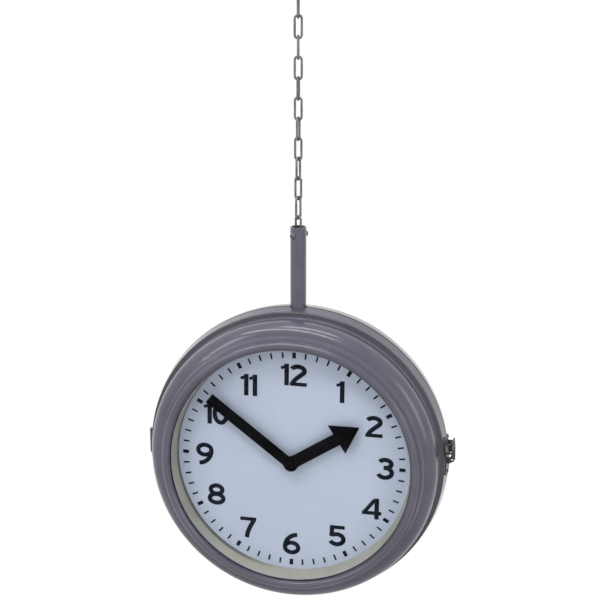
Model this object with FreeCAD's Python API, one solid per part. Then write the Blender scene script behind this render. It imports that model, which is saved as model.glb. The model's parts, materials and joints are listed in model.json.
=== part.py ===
import FreeCAD, Part
import math
import os

# Double sided station clock that hangs from the ceiling on a chain.
# Millimetres. The origin is the middle of the ceiling plate's top face, +Z is up,
# and the front dial faces -Y. The case is a clamshell of two pressed steel halves,
# split on its middle plane. It hangs by a tube with a cross bolt in the last link.
# Each half holds its own dial, glass, movement and hands.

V = FreeCAD.Vector

# ---------------------------------------------------------------- ceiling fitting
PLATE_RADIUS = 32.0
PLATE_THICKNESS = 3.0
PLATE_SCREW_CIRCLE = 23.0
PLATE_SCREW_HOLE = 2.25
PLATE_SCREW_COUNT = 4
PLATE_SCREW_START = 45.0
HOOK_WIRE = 2.5
HOOK_BEND = 9.0
HOOK_SHANK = 7.0
HOOK_MOUTH = 62.0
HOOK_COLLAR = 6.0
HOOK_COLLAR_HEIGHT = 3.0

# ---------------------------------------------------------------- chain
LINK_COUNT = 13
LINK_WIRE = 1.5
LINK_PITCH = 26.0
LINK_INNER_WIDTH = 6.0
LINK_GAP = 0.15
LINK_TWIST = 94.5
BOTTOM_LINK_HEADING = -32.0

# ---------------------------------------------------------------- down tube and bolt
TUBE_RADIUS = 10.65
TUBE_WALL = 2.0
TUBE_SHOWN = 108.0
TUBE_FLANGE_RADIUS = 14.0
TUBE_FLANGE_THICKNESS = 1.5
TUBE_TAIL = 14.0
TUBE_NUT_WIDTH = 30.0
TUBE_NUT_HEIGHT = 8.0
TUBE_NOTCH_GAP = 0.8
TUBE_FLANGE_GAP = 0.6
BOLT_DROP = 11.0
BOLT_RADIUS = 2.5
BOLT_HEAD_RADIUS = 4.6
BOLT_HEAD_HEIGHT = 3.2
BOLT_SOCKET_WIDTH = 3.0
BOLT_SOCKET_DEPTH = 1.6
BOLT_NUT_WIDTH = 8.0
BOLT_NUT_HEIGHT = 4.0
BOLT_TAIL = 1.2

# ---------------------------------------------------------------- case halves
SHEET = 1.2
SEAM_GAP = 0.5
SEAM_RADIUS = 206.0
SEAM_CHAMFER = 0.7
BAND_TAPER = 3.0
BAND_FRONT = 19.0
STEP_WIDTH = 7.0
ROLL_DEPTH = 19.3
BEZEL_WIDTH = 30.6
GLASS_RISE = 25.9
GLASS_SEAT_WIDTH = 2.8
CREST_RISE = 6.4

# Corners of a pressed half's section as (outwards, forwards) steps, in three groups:
# from the glass seat's corner, from the roll's side and from the band's front edge.
LIP_TOP_STEP = (0.0, 4.4)
CREST_STEP = (3.6, CREST_RISE)
CREST_OUTER_STEP = (9.3, 2.8)
LEDGE_INNER_STEP = (10.2, -1.2)
LEDGE_OUTER_STEP = (12.8, -2.0)
GROOVE_STEP = (-15.1, 18.8)
ROLL_SHOULDER_STEP = (-4.2, 12.2)
ROLL_BACK_STEP = (-0.3, -7.3)
NECK_STEP = (-8.4, 5.5)
STEP_FOOT_STEP = (-6.8, 3.2)
STEP_TOP_STEP = (-1.5, 2.4)
STEP_ROUND_STEP = (-0.4, 1.6)

HOOP_THICKNESS = 3.0
HOOP_HALF_WIDTH = 14.0
HOOP_CLEARANCE = 1.6
HOOP_SADDLE_WIDTH = 34.0
HOOP_SADDLE_DEPTH = 6.0

# ---------------------------------------------------------------- dial and glass
DIAL_EDGE_GAP = 6.0
DIAL_THICKNESS = 1.0
SURROUND_LEAN = 3.8
DIAL_BORE_GAP = 0.3
SURROUND_THICKNESS = 1.0
SURROUND_FLANGE = 8.0
GLASS_THICKNESS = 2.5
GLASS_RIM_GAP = 0.4
RING_WIRE = 0.9
RING_SPLIT = 1.2
RING_SPLIT_HEADING = 170.0
LUG_COUNT = 6
LUG_WIDTH = 16.0
LUG_REACH = 8.0
LUG_THICKNESS = 1.5
FIRST_LUG_HEADING = 30.0

# ---------------------------------------------------------------- hands
MINUTE_HEADING = 307.8
HOUR_HEADING = 58.0
MINUTE_TIP_GAP = 18.0
MINUTE_WIDTH = 15.0
MINUTE_HEIGHT = 13.6
HOUR_TIP_GAP = 50.4
HOUR_WIDTH = 17.0
HOUR_HEIGHT = 9.4
HOUR_HEAD_LENGTH = 35.9
HOUR_HEAD_WIDTH = 45.2
HAND_THICKNESS = 1.0
HAND_HUB_RADIUS = 10.2
HAND_COLLAR_RADIUS = 4.2
HAND_COLLAR_HEIGHT = 1.4
CAP_RADIUS = 3.2
CAP_HEIGHT = 3.6

# ---------------------------------------------------------------- movement
MOVEMENT_DEPTH = 18.0
MOVEMENT_WALL = 1.5
MOVEMENT_CORNER = 4.0
BUSH_RADIUS = 4.5
BUSH_HEIGHT = 5.6
BUSH_NUT_WIDTH = 14.0
BUSH_NUT_HEIGHT = 2.5
PIPE_RADIUS = 2.8
ARBOR_RADIUS = 1.6
PIVOT_RADIUS = 1.0
RUNNING_GAP = 0.05
HAND_WHEEL_GAP = 0.6
GEAR_CENTRES = 12.0
GEAR_THICKNESS = 1.6
GEAR_LAYER_GAP = 0.5
CANNON_TEETH = 12
SET_WHEEL_TEETH = 36
SET_PINION_TEETH = 10
HOUR_TEETH = 40
TOOTH_ADDENDUM = 0.85
TOOTH_DEDENDUM = 1.25
TOOTH_ROOT_SHARE = 0.33
TOOTH_PITCH_SHARE = 0.2
TOOTH_TIP_SHARE = 0.1
KNOB_RADIUS = 6.0
KNOB_HEIGHT = 3.5
CELL_RADIUS = 7.25
CELL_LENGTH = 50.5
CELL_NUB_RADIUS = 2.75
CELL_NUB = 1.0
CELL_WINDOW_GAP = 0.4
CELL_END_ROOM = 1.25
CELL_CONTACT_WIDTH = 5.0

# ---------------------------------------------------------------- hinge and latch
HINGE_LENGTH = 34.0
HINGE_LEAF = 1.5
HINGE_REACH = 16.0
HINGE_BARREL = 2.4
HINGE_PIN = 1.2
HINGE_PIN_HEAD = 1.9
HINGE_PIN_HEAD_HEIGHT = 1.2
HINGE_RUNNING_GAP = 0.06
HINGE_KNUCKLES = 5
HINGE_KNUCKLE_GAP = 0.4
HINGE_CASE_GAP = 0.35
RIVET_RADIUS = 1.4
RIVET_HEAD = 2.7
RIVET_HEAD_HEIGHT = 1.4
RIVET_TAIL_HEIGHT = 0.8
HINGE_RIVET_INSET = 4.3
LATCH_RIVET_INSET = 6.8
KEEPER_RIVET_INSET = 3.1

LATCH_BOTTOM = -16.0
LATCH_TOP = 38.0
LATCH_PLATE = 1.5
LATCH_NEAR = 2.2
LATCH_FAR = 17.0
LEVER_HEIGHT = 20.4
LEVER_WIDTH = 17.0
LEVER_SHEET = 1.4
LEVER_DEPTH = 4.8
LEVER_TAIL = 27.0
LEVER_TAIL_ROUND = 5.6
LEVER_NOSE = 3.1
LEVER_PIVOT_STANDOFF = 5.6
LEVER_PIVOT_SETBACK = 8.0
LEVER_PIVOT_RADIUS = 1.3
LEVER_EAR_RADIUS = 1.9
LEVER_AJAR = 6.0
BAIL_WIRE = 1.1
BAIL_PIVOT_STANDOFF = 4.4
BAIL_PIVOT_SETBACK = 13.5
BAIL_RATIO = 2.0
KEEPER_BAR_STANDOFF = 3.3
KEEPER_BAR_SETBACK = 8.0
KEEPER_LIP_STANDOFF = 4.2
KEEPER_LIP_THICKNESS = 1.5
KEEPER_LIP_CLEARANCE = 0.6
KEEPER_WIDTH = 30.0
EYE_HEIGHT = 5.9
EYE_RADIUS = 3.1
EYE_HOLE = 1.5
EYE_STANDOFF = 5.6
EYE_THICKNESS = 2.0
EYE_WEB_DROP = 8.0
EYE_BROW_OUT = 2.5
EYE_BROW_DROP = 1.9
MOVING_GAP = 0.3
CORNER_FLAT = 0.5

# ---------------------------------------------------------------- places worked out
BAND_FRONT_RADIUS = SEAM_RADIUS - BAND_TAPER
ROLL_RADIUS = BAND_FRONT_RADIUS - STEP_WIDTH
LIP_RADIUS = ROLL_RADIUS - BEZEL_WIDTH
DIAL_FACE = BAND_FRONT + ROLL_DEPTH
DIAL_BACK = DIAL_FACE - DIAL_THICKNESS
GLASS_SEAT = DIAL_FACE + GLASS_RISE
MOVEMENT_WIDTH = CELL_LENGTH + 2 * (CELL_END_ROOM + MOVEMENT_WALL)
DIAL_RADIUS = ROLL_RADIUS - DIAL_EDGE_GAP
DIAL_OPENING = LIP_RADIUS - GLASS_SEAT_WIDTH - SURROUND_LEAN
MINUTE_LENGTH = DIAL_OPENING - MINUTE_TIP_GAP
HOUR_LENGTH = DIAL_OPENING - HOUR_TIP_GAP
HOUR_HEAD_START = HOUR_LENGTH - HOUR_HEAD_LENGTH
TUBE_RISE = SEAM_RADIUS + TUBE_SHOWN
LINK_INNER_LENGTH = LINK_PITCH + LINK_GAP
LINK_BEND = LINK_INNER_WIDTH / 2 + LINK_WIRE
HOOK_BOTTOM = -(PLATE_THICKNESS + HOOK_SHANK + 2 * HOOK_BEND)
TOP_LINK_INNER_TOP = HOOK_BOTTOM + HOOK_WIRE + LINK_GAP
BOTTOM_LINK_INNER_BOTTOM = TOP_LINK_INNER_TOP - LINK_COUNT * LINK_PITCH - LINK_GAP
BOLT_Z = BOTTOM_LINK_INNER_BOTTOM + LINK_GAP + BOLT_RADIUS
CASE_Z = BOLT_Z + BOLT_DROP - TUBE_RISE
BAND_SLOPE = math.atan2(BAND_TAPER, BAND_FRONT)
HALF_GAP = SEAM_GAP / 2
BAND_WALL = SHEET / math.cos(BAND_SLOPE)
FLANGE_TOP = (SEAM_RADIUS - BAND_TAPER * TUBE_FLANGE_RADIUS / BAND_FRONT - BAND_WALL
              - TUBE_FLANGE_GAP)
FLANGE_UNDERSIDE = FLANGE_TOP - TUBE_FLANGE_THICKNESS
BAND_TRIM = 3 * SHEET
RIVET_HOLE_REACH = 2 * (SHEET + HOOP_THICKNESS + HOOP_CLEARANCE)
HINGE_X = -(SEAM_RADIUS + HINGE_CASE_GAP + HINGE_BARREL)
MODULE_SLOW = 2 * GEAR_CENTRES / (SET_PINION_TEETH + HOUR_TEETH)
MODULE_FAST = 2 * GEAR_CENTRES / (CANNON_TEETH + SET_WHEEL_TEETH)


def save(name, shape):
    """Write one node, checked, as its own file."""
    if not shape.isValid():
        print("NOT VALID", name)
    shape.exportStep("parts/" + name + ".step")
    print("%-24s solids %d volume %.1f" % (name, len(shape.Solids), shape.Volume))


def one(shape):
    """The single solid of a boolean's result, with its split faces joined."""
    return shape.removeSplitter().Solids[0]


def cylinder(radius, start, end):
    """A round bar between two points."""
    axis = end - start
    return Part.makeCylinder(radius, axis.Length, start, axis)


def block(low, high):
    """A box between two corners."""
    size = high - low
    return Part.makeBox(size.x, size.y, size.z, low)


def prism(points, thickness):
    """A flat plate from a closed outline of vectors, thick along its normal vector."""
    return Part.Face(Part.makePolygon(points + [points[0]])).extrude(thickness)


def hexagon(width, height, base, axis):
    """A hexagonal nut blank, measured across its flats."""
    corner = width / math.sqrt(3)
    points = []
    for side in range(6):
        angle = math.radians(60 * side)
        points.append(V(corner * math.cos(angle), corner * math.sin(angle), 0))
    nut = prism(points, V(0, 0, height))
    nut.Placement = FreeCAD.Placement(base, FreeCAD.Rotation(V(0, 0, 1), axis))
    return nut


def run(start, end):
    """A straight edge of a turned section: radius from the axis, distance forward."""
    return Part.LineSegment(V(start[0], -start[1], 0), V(end[0], -end[1], 0)).toShape()


def bend(start, middle, end):
    """A curved edge of a turned section."""
    ends = [V(point[0], -point[1], 0) for point in (start, middle, end)]
    return Part.Arc(*ends).toShape()


def turned(points):
    """A ring or disc turned about the dial's axis from its section's corners."""
    edges = [run(a, b) for a, b in zip(points, points[1:] + points[:1])]
    return Part.Face(Part.Wire(edges)).revolve(V(0, 0, 0), V(0, 1, 0), 360)


def in_case(shape):
    """Move a shape from the case's own centre to its place under the chain."""
    moved = shape.copy()
    moved.translate(V(0, 0, CASE_Z))
    return moved


def to_side(shape, side):
    """Place a front piece on its side: the rear one is the same, turned half round."""
    moved = shape.copy()
    if side == "rear":
        moved.rotate(V(0, 0, 0), V(0, 0, 1), 180)
    return in_case(moved)


def heading_vector(angle):
    """A level direction, counted from +X towards +Y."""
    return V(math.cos(math.radians(angle)), math.sin(math.radians(angle)), 0)


# ================================================================ ceiling and chain
def link_heading(number):
    """Level direction in which link number lies flat; 1 is the top link."""
    return BOTTOM_LINK_HEADING + LINK_TWIST * (LINK_COUNT - number)


def ceiling_plate():
    plate = Part.makeCylinder(PLATE_RADIUS, PLATE_THICKNESS, V(0, 0, -PLATE_THICKNESS))
    lower_rim = [edge for edge in plate.Edges if edge.BoundBox.ZMax < -PLATE_THICKNESS / 2]
    plate = plate.makeFillet(PLATE_THICKNESS / 2, lower_rim)
    plate = plate.cut(cylinder(HOOK_WIRE, V(0, 0, 0), V(0, 0, -PLATE_THICKNESS)))
    for number in range(PLATE_SCREW_COUNT):
        heading = PLATE_SCREW_START + 360 * number / PLATE_SCREW_COUNT
        place = heading_vector(heading) * PLATE_SCREW_CIRCLE
        plate = plate.cut(cylinder(PLATE_SCREW_HOLE, place, place - V(0, 0, PLATE_THICKNESS)))
        sink = Part.makeCone(PLATE_SCREW_HOLE * 2, PLATE_SCREW_HOLE, PLATE_THICKNESS / 2,
                             place - V(0, 0, PLATE_THICKNESS), V(0, 0, 1))
        plate = plate.cut(sink)
    return one(plate)


def ceiling_hook():
    """An open hook: shank through the plate, collar under it, and a round bend."""
    centre = V(0, 0, HOOK_BOTTOM + HOOK_BEND)
    shank_foot = centre + V(0, 0, HOOK_BEND)
    shank = cylinder(HOOK_WIRE, V(0, 0, 0), shank_foot)
    collar = cylinder(HOOK_COLLAR, V(0, 0, -PLATE_THICKNESS),
                      V(0, 0, -PLATE_THICKNESS - HOOK_COLLAR_HEIGHT))
    arc = 360 - HOOK_MOUTH
    bend_solid = Part.makeTorus(HOOK_BEND, HOOK_WIRE, V(0, 0, 0), V(0, 0, 1), 0, 360, arc)
    tip_angle = math.radians(arc)
    tip = V(HOOK_BEND * math.cos(tip_angle), HOOK_BEND * math.sin(tip_angle), 0)
    hook = bend_solid.fuse(Part.makeSphere(HOOK_WIRE, tip))
    hook.rotate(V(0, 0, 0), V(0, 0, 1), 90)
    hook.rotate(V(0, 0, 0), V(1, 0, 0), 90)
    hook.rotate(V(0, 0, 0), V(0, 0, 1), link_heading(1) + 90)
    hook.translate(centre)
    elbow = Part.makeSphere(HOOK_WIRE, shank_foot)
    return one(hook.fuse([elbow, shank, collar]))


def link_top(number):
    """Height of the inside of a link's top bend."""
    return TOP_LINK_INNER_TOP - LINK_PITCH * (number - 1)


def chain_link(number):
    """One welded link: two straight legs and two half-round bends of round wire."""
    upper = link_top(number) - LINK_INNER_WIDTH / 2
    lower = link_top(number) - LINK_INNER_LENGTH + LINK_INNER_WIDTH / 2
    left = cylinder(LINK_WIRE, V(-LINK_BEND, 0, lower), V(-LINK_BEND, 0, upper))
    right = cylinder(LINK_WIRE, V(LINK_BEND, 0, lower), V(LINK_BEND, 0, upper))
    top = Part.makeTorus(LINK_BEND, LINK_WIRE, V(0, 0, 0), V(0, 0, 1), 0, 360, 180)
    top.rotate(V(0, 0, 0), V(1, 0, 0), 90)
    bottom = top.copy()
    bottom.rotate(V(0, 0, 0), V(0, 1, 0), 180)
    top.translate(V(0, 0, upper))
    bottom.translate(V(0, 0, lower))
    link = one(left.fuse([right, top, bottom]))
    link.rotate(V(0, 0, 0), V(0, 0, 1), link_heading(number))
    return link


# ================================================================ tube, bolt and hoop
def bolt_direction():
    """The bolt's axis, from its nut at the back to its head at the front left."""
    return heading_vector(BOTTOM_LINK_HEADING - 90)


def down_tube():
    top = V(0, 0, TUBE_RISE)
    foot = V(0, 0, FLANGE_UNDERSIDE - HOOP_SADDLE_DEPTH - TUBE_TAIL)
    tube = cylinder(TUBE_RADIUS, foot, top)
    flange = cylinder(TUBE_FLANGE_RADIUS, V(0, 0, FLANGE_UNDERSIDE), V(0, 0, FLANGE_TOP))
    tube = tube.fuse(flange).cut(cylinder(TUBE_RADIUS - TUBE_WALL, foot, top))
    middle = V(0, 0, TUBE_RISE - BOLT_DROP)
    across = bolt_direction() * TUBE_RADIUS * 2
    return in_case(one(tube.cut(cylinder(BOLT_RADIUS, middle - across, middle + across))))


def hanger_bolt():
    middle = V(0, 0, TUBE_RISE - BOLT_DROP)
    way = bolt_direction()
    seat = middle + way * TUBE_RADIUS
    tail = middle - way * (TUBE_RADIUS + BOLT_NUT_HEIGHT + BOLT_TAIL)
    dome_radius = (BOLT_HEAD_RADIUS ** 2 + BOLT_HEAD_HEIGHT ** 2) / (2 * BOLT_HEAD_HEIGHT)
    dome_centre = seat + way * (BOLT_HEAD_HEIGHT - dome_radius)
    dome = Part.makeSphere(dome_radius, dome_centre)
    head = dome.common(cylinder(BOLT_HEAD_RADIUS, seat, seat + way * BOLT_HEAD_HEIGHT * 2))
    socket_floor = seat + way * (BOLT_HEAD_HEIGHT - BOLT_SOCKET_DEPTH)
    head = head.cut(hexagon(BOLT_SOCKET_WIDTH, BOLT_HEAD_HEIGHT, socket_floor, way))
    return in_case(one(head.fuse(cylinder(BOLT_RADIUS, tail, seat))))


def hanger_nut():
    middle = V(0, 0, TUBE_RISE - BOLT_DROP)
    way = bolt_direction() * -1
    seat = middle + way * TUBE_RADIUS
    nut = hexagon(BOLT_NUT_WIDTH, BOLT_NUT_HEIGHT, seat, way)
    return in_case(one(nut.cut(cylinder(BOLT_RADIUS, middle, seat + way * BOLT_NUT_HEIGHT))))


def band_radius(forward):
    """Outer radius of the case's band at a distance from the middle plane."""
    return SEAM_RADIUS - BAND_TAPER * abs(forward) / BAND_FRONT


def hoop_inner_radius():
    return band_radius(HOOP_HALF_WIDTH) - BAND_WALL - HOOP_CLEARANCE - HOOP_THICKNESS


def centre_hoop():
    """The inner ring that carries the case: it is riveted fast in the rear half."""
    rear = -HOOP_HALF_WIDTH
    front = HOOP_HALF_WIDTH
    inner = hoop_inner_radius()
    section = [(inner, rear), (band_radius(rear) - BAND_WALL, rear),
               (band_radius(0) - BAND_WALL, 0),
               (band_radius(0) - BAND_WALL - HOOP_CLEARANCE, 0),
               (band_radius(front) - BAND_WALL - HOOP_CLEARANCE, front), (inner, front)]
    hoop = turned(section)
    saddle_foot = FLANGE_UNDERSIDE - HOOP_SADDLE_DEPTH
    half = HOOP_SADDLE_WIDTH / 2
    saddle = block(V(-half, -HOOP_HALF_WIDTH, saddle_foot),
                   V(half, HOOP_HALF_WIDTH, FLANGE_UNDERSIDE))
    above = block(V(-half, -HOOP_HALF_WIDTH, FLANGE_UNDERSIDE),
                  V(half, HOOP_HALF_WIDTH, SEAM_RADIUS))
    below = V(0, 0, saddle_foot - TUBE_TAIL)
    hoop = hoop.fuse(saddle).cut(above)
    hoop = hoop.cut(cylinder(TUBE_RADIUS, below, V(0, 0, SEAM_RADIUS)))
    for place in rivet_places("rear"):
        hole = rivet_hole(*place[:3])
        hole.rotate(V(0, 0, 0), V(0, 0, 1), 180)
        hoop = hoop.cut(hole)
    return in_case(one(hoop))


def tube_nut():
    seat = V(0, 0, FLANGE_UNDERSIDE - HOOP_SADDLE_DEPTH)
    nut = hexagon(TUBE_NUT_WIDTH, TUBE_NUT_HEIGHT, seat, V(0, 0, -1))
    foot = seat - V(0, 0, TUBE_NUT_HEIGHT)
    return in_case(one(nut.cut(cylinder(TUBE_RADIUS, foot, seat))))


# ================================================================ case halves
def beside(corner, step):
    """A section corner reached by a step outwards and forwards from another."""
    return corner[0] + step[0], corner[1] + step[1]


def shell_outline():
    """The pressed face of a case half, from the glass seat out and back to the seam."""
    seat_edge = (LIP_RADIUS - GLASS_SEAT_WIDTH, GLASS_SEAT)
    seat_corner = (LIP_RADIUS, GLASS_SEAT)
    roll_side = (ROLL_RADIUS, DIAL_FACE)
    band_front = (BAND_FRONT_RADIUS, BAND_FRONT)
    seam = (SEAM_RADIUS, 0)
    lip = beside(seat_corner, LIP_TOP_STEP)
    crest = beside(seat_corner, CREST_STEP)
    crest_outer = beside(seat_corner, CREST_OUTER_STEP)
    ledge_inner = beside(seat_corner, LEDGE_INNER_STEP)
    ledge_outer = beside(seat_corner, LEDGE_OUTER_STEP)
    groove = beside(roll_side, GROOVE_STEP)
    roll = beside(roll_side, ROLL_SHOULDER_STEP)
    roll_back = beside(roll_side, ROLL_BACK_STEP)
    neck = beside(band_front, NECK_STEP)
    step_foot = beside(band_front, STEP_FOOT_STEP)
    step_top = beside(band_front, STEP_TOP_STEP)
    step_round = beside(band_front, STEP_ROUND_STEP)
    return Part.Wire([
        run(seat_edge, seat_corner), run(seat_corner, lip), bend(lip, crest, crest_outer),
        run(crest_outer, ledge_inner), run(ledge_inner, ledge_outer),
        run(ledge_outer, groove), bend(groove, roll, roll_side),
        bend(roll_side, roll_back, neck),
        run(neck, step_foot), run(step_foot, step_top),
        bend(step_top, step_round, band_front), run(band_front, seam)])


def lug(number):
    """One spot-welded lug of the shell that holds the dial from behind."""
    outer = ROLL_RADIUS - SHEET / 2
    half = LUG_WIDTH / 2
    back = DIAL_BACK - LUG_THICKNESS
    low = V(DIAL_RADIUS - LUG_REACH, -DIAL_BACK, -half)
    piece = block(low, V(outer, -back, half))
    piece.rotate(V(0, 0, 0), V(0, 1, 0), FIRST_LUG_HEADING + 360 * number / LUG_COUNT)
    return piece


def shell(side):
    """A case half with its lugs, tube notch and rivet holes."""
    section = shell_outline().makeOffset2D(-SHEET, 0, True, True)
    section.reverse()
    skin = section.revolve(V(0, 0, 0), V(0, 1, 0), 360)
    wide = SEAM_RADIUS * 2
    skin = skin.cut(block(V(-wide, -HALF_GAP, -wide), V(wide, wide, wide)))
    chamfer_foot = SEAM_RADIUS - SEAM_CHAMFER
    beyond = SEAM_RADIUS + SHEET
    skin = skin.cut(turned([(chamfer_foot, HALF_GAP), (beyond, HALF_GAP),
                            (beyond, HALF_GAP + SEAM_CHAMFER + SHEET)]))
    notch = TUBE_RADIUS + TUBE_NOTCH_GAP
    skin = skin.cut(cylinder(notch, V(0, 0, ROLL_RADIUS / 2), V(0, 0, beyond)))
    for place in rivet_places(side):
        skin = skin.cut(rivet_hole(*place[:3]))
    for number in range(LUG_COUNT):
        skin = skin.fuse(lug(number))
    return one(skin)


# ================================================================ dial and glass
def glass():
    front = V(0, -GLASS_SEAT - GLASS_THICKNESS, 0)
    return cylinder(LIP_RADIUS - GLASS_RIM_GAP, V(0, -GLASS_SEAT, 0), front)


def glass_ring():
    """A split spring ring of round wire that holds the glass in the lip."""
    centre = LIP_RADIUS - RING_WIRE
    ring = Part.makeTorus(centre, RING_WIRE, V(0, 0, 0), V(0, 1, 0))
    ring.translate(V(0, -(GLASS_SEAT + GLASS_THICKNESS + RING_WIRE), 0))
    angle = math.radians(RING_SPLIT_HEADING)
    split = V(centre * math.sin(angle), -GLASS_SEAT, centre * math.cos(angle))
    half = RING_SPLIT / 2
    saw = block(V(-half, -CREST_RISE * 2, -CREST_RISE), V(half, 0, CREST_RISE))
    saw.rotate(V(0, 0, 0), V(0, 1, 0), RING_SPLIT_HEADING)
    saw.translate(split)
    return one(ring.cut(saw))


def surround():
    """The cream wall between the dial and the glass, with a foot flange on the dial."""
    top = GLASS_SEAT - SHEET
    wall = SURROUND_THICKNESS
    top_radius = LIP_RADIUS - GLASS_SEAT_WIDTH
    base = DIAL_OPENING
    return turned([(base, DIAL_FACE), (top_radius, top), (top_radius + wall, top),
                   (base + wall, DIAL_FACE + wall), (base + SURROUND_FLANGE, DIAL_FACE + wall),
                   (base + SURROUND_FLANGE, DIAL_FACE)])


def dial():
    plate = cylinder(DIAL_RADIUS, V(0, -DIAL_BACK, 0), V(0, -DIAL_FACE, 0))
    bore = cylinder(BUSH_RADIUS + DIAL_BORE_GAP, V(0, -DIAL_BACK, 0), V(0, -DIAL_FACE, 0))
    return plate.cut(bore)


# ================================================================ hands
def hand_plate(points, height, heading, bore):
    """A flat hand: its outline and round hub, cut for its arbor and turned to the time."""
    face_y = -(DIAL_FACE + height)
    outline = [V(across, face_y, along) for across, along in points]
    blade = prism(outline, V(0, -HAND_THICKNESS, 0))
    hub = cylinder(HAND_HUB_RADIUS, V(0, face_y, 0), V(0, face_y - HAND_THICKNESS, 0))
    collar = cylinder(HAND_COLLAR_RADIUS, V(0, face_y + HAND_COLLAR_HEIGHT, 0), V(0, face_y, 0))
    hand = blade.fuse([hub, collar])
    hand = hand.cut(cylinder(bore, V(0, 0, 0), V(0, -GLASS_SEAT, 0)))
    hand.rotate(V(0, 0, 0), V(0, 1, 0), heading)
    return one(hand)


def minute_hand():
    half = MINUTE_WIDTH / 2
    points = [(-half, 0), (half, 0), (half, MINUTE_LENGTH), (-half, MINUTE_LENGTH)]
    return hand_plate(points, MINUTE_HEIGHT, MINUTE_HEADING, ARBOR_RADIUS)


def hour_hand():
    half = HOUR_WIDTH / 2
    barb = HOUR_HEAD_WIDTH / 2
    points = [(-half, 0), (half, 0), (half, HOUR_HEAD_START), (barb, HOUR_HEAD_START),
              (0, HOUR_LENGTH), (-barb, HOUR_HEAD_START), (-half, HOUR_HEAD_START)]
    return hand_plate(points, HOUR_HEIGHT, HOUR_HEADING, PIPE_RADIUS)


def hand_cap():
    """The domed cap on the end of the minute arbor."""
    seat = DIAL_FACE + MINUTE_HEIGHT + HAND_THICKNESS
    body = cylinder(CAP_RADIUS, V(0, -seat, 0), V(0, -seat - CAP_HEIGHT, 0))
    rim = [edge for edge in body.Edges if edge.BoundBox.YMax < -seat - CAP_HEIGHT / 2]
    body = body.makeFillet(CAP_RADIUS / 2, rim)
    return one(body.cut(cylinder(ARBOR_RADIUS, V(0, 0, 0), V(0, -arbor_end(), 0))))


def arbor_end():
    """How far forward the minute arbor reaches: half way into its cap."""
    return DIAL_FACE + MINUTE_HEIGHT + HAND_THICKNESS + CAP_HEIGHT / 2


def hour_pipe_end():
    return DIAL_FACE + HOUR_HEIGHT + HAND_THICKNESS + HAND_WHEEL_GAP


# ================================================================ movement
def gear(teeth, module, low, high, tooth_heading):
    """A wheel with plain straight-flanked teeth, between two distances forward."""
    pitch_radius = module * teeth / 2
    tip = pitch_radius + TOOTH_ADDENDUM * module
    root = pitch_radius - TOOTH_DEDENDUM * module
    step = 360 / teeth
    rising = [(root, -TOOTH_ROOT_SHARE), (pitch_radius, -TOOTH_PITCH_SHARE),
              (tip, -TOOTH_TIP_SHARE)]
    falling = [(radius, -share) for radius, share in reversed(rising)]
    points = []
    for tooth in range(teeth):
        for radius, share in rising + falling:
            angle = math.radians(tooth_heading + step * (tooth + share))
            points.append(V(radius * math.sin(angle), -low, radius * math.cos(angle)))
    return prism(points, V(0, low - high, 0))


def layer(number):
    """The two wheel layers behind the movement's front wall: 0 is the slow one."""
    high = DIAL_BACK - MOVEMENT_WALL - GEAR_LAYER_GAP
    high -= number * (GEAR_THICKNESS + GEAR_LAYER_GAP)
    return high - GEAR_THICKNESS, high


def along(radius, low, high, offset=0.0):
    """A round bar along the dial's axis, at a height above it."""
    return cylinder(radius, V(0, -low, offset), V(0, -high, offset))


def movement_back_face():
    return DIAL_BACK - MOVEMENT_DEPTH


def rounded_box(width, low, high):
    """The movement's square block with round corners, along the dial's axis."""
    half = width / 2
    body = block(V(-half, -high, -half), V(half, -low, half))
    corners = [edge for edge in body.Edges if abs(edge.BoundBox.YLength - (high - low)) < 1e-6]
    return body.makeFillet(MOVEMENT_CORNER, corners)


def cannon_pinion():
    """The minute arbor with its pinion: it turns the hand once an hour."""
    low, high = layer(1)
    pinion = gear(CANNON_TEETH, MODULE_FAST, low, high, 0)
    arbor = along(ARBOR_RADIUS, low, arbor_end())
    pivot = along(PIVOT_RADIUS, movement_back_face() + MOVEMENT_WALL / 2, low)
    return one(pinion.fuse([arbor, pivot]))


def set_wheel():
    """The wheel between the minute and hour arbors, with its hand-setting knob."""
    low, high = layer(1)
    slow_low, slow_high = layer(0)
    wheel = gear(SET_WHEEL_TEETH, MODULE_FAST, low, high, 180 + 180 / SET_WHEEL_TEETH)
    pinion = gear(SET_PINION_TEETH, MODULE_SLOW, high, slow_high, 180)
    for piece in (wheel, pinion):
        piece.translate(V(0, 0, GEAR_CENTRES))
    back = movement_back_face()
    front_pivot = along(PIVOT_RADIUS, slow_high, DIAL_BACK, GEAR_CENTRES)
    stem = along(PIVOT_RADIUS, back, low, GEAR_CENTRES)
    knob = along(KNOB_RADIUS, back - KNOB_HEIGHT, back - MOVING_GAP, GEAR_CENTRES)
    stem_end = along(PIVOT_RADIUS, back - MOVING_GAP, back, GEAR_CENTRES)
    return one(wheel.fuse([pinion, front_pivot, stem, stem_end, knob]))


def hour_wheel():
    """The hour wheel and its pipe, which runs on the minute arbor."""
    low, high = layer(0)
    wheel = gear(HOUR_TEETH, MODULE_SLOW, low, high, 180 / HOUR_TEETH)
    pipe = along(PIPE_RADIUS, high, hour_pipe_end())
    bore = along(ARBOR_RADIUS + RUNNING_GAP, low, hour_pipe_end())
    return one(wheel.fuse(pipe).cut(bore))


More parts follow.
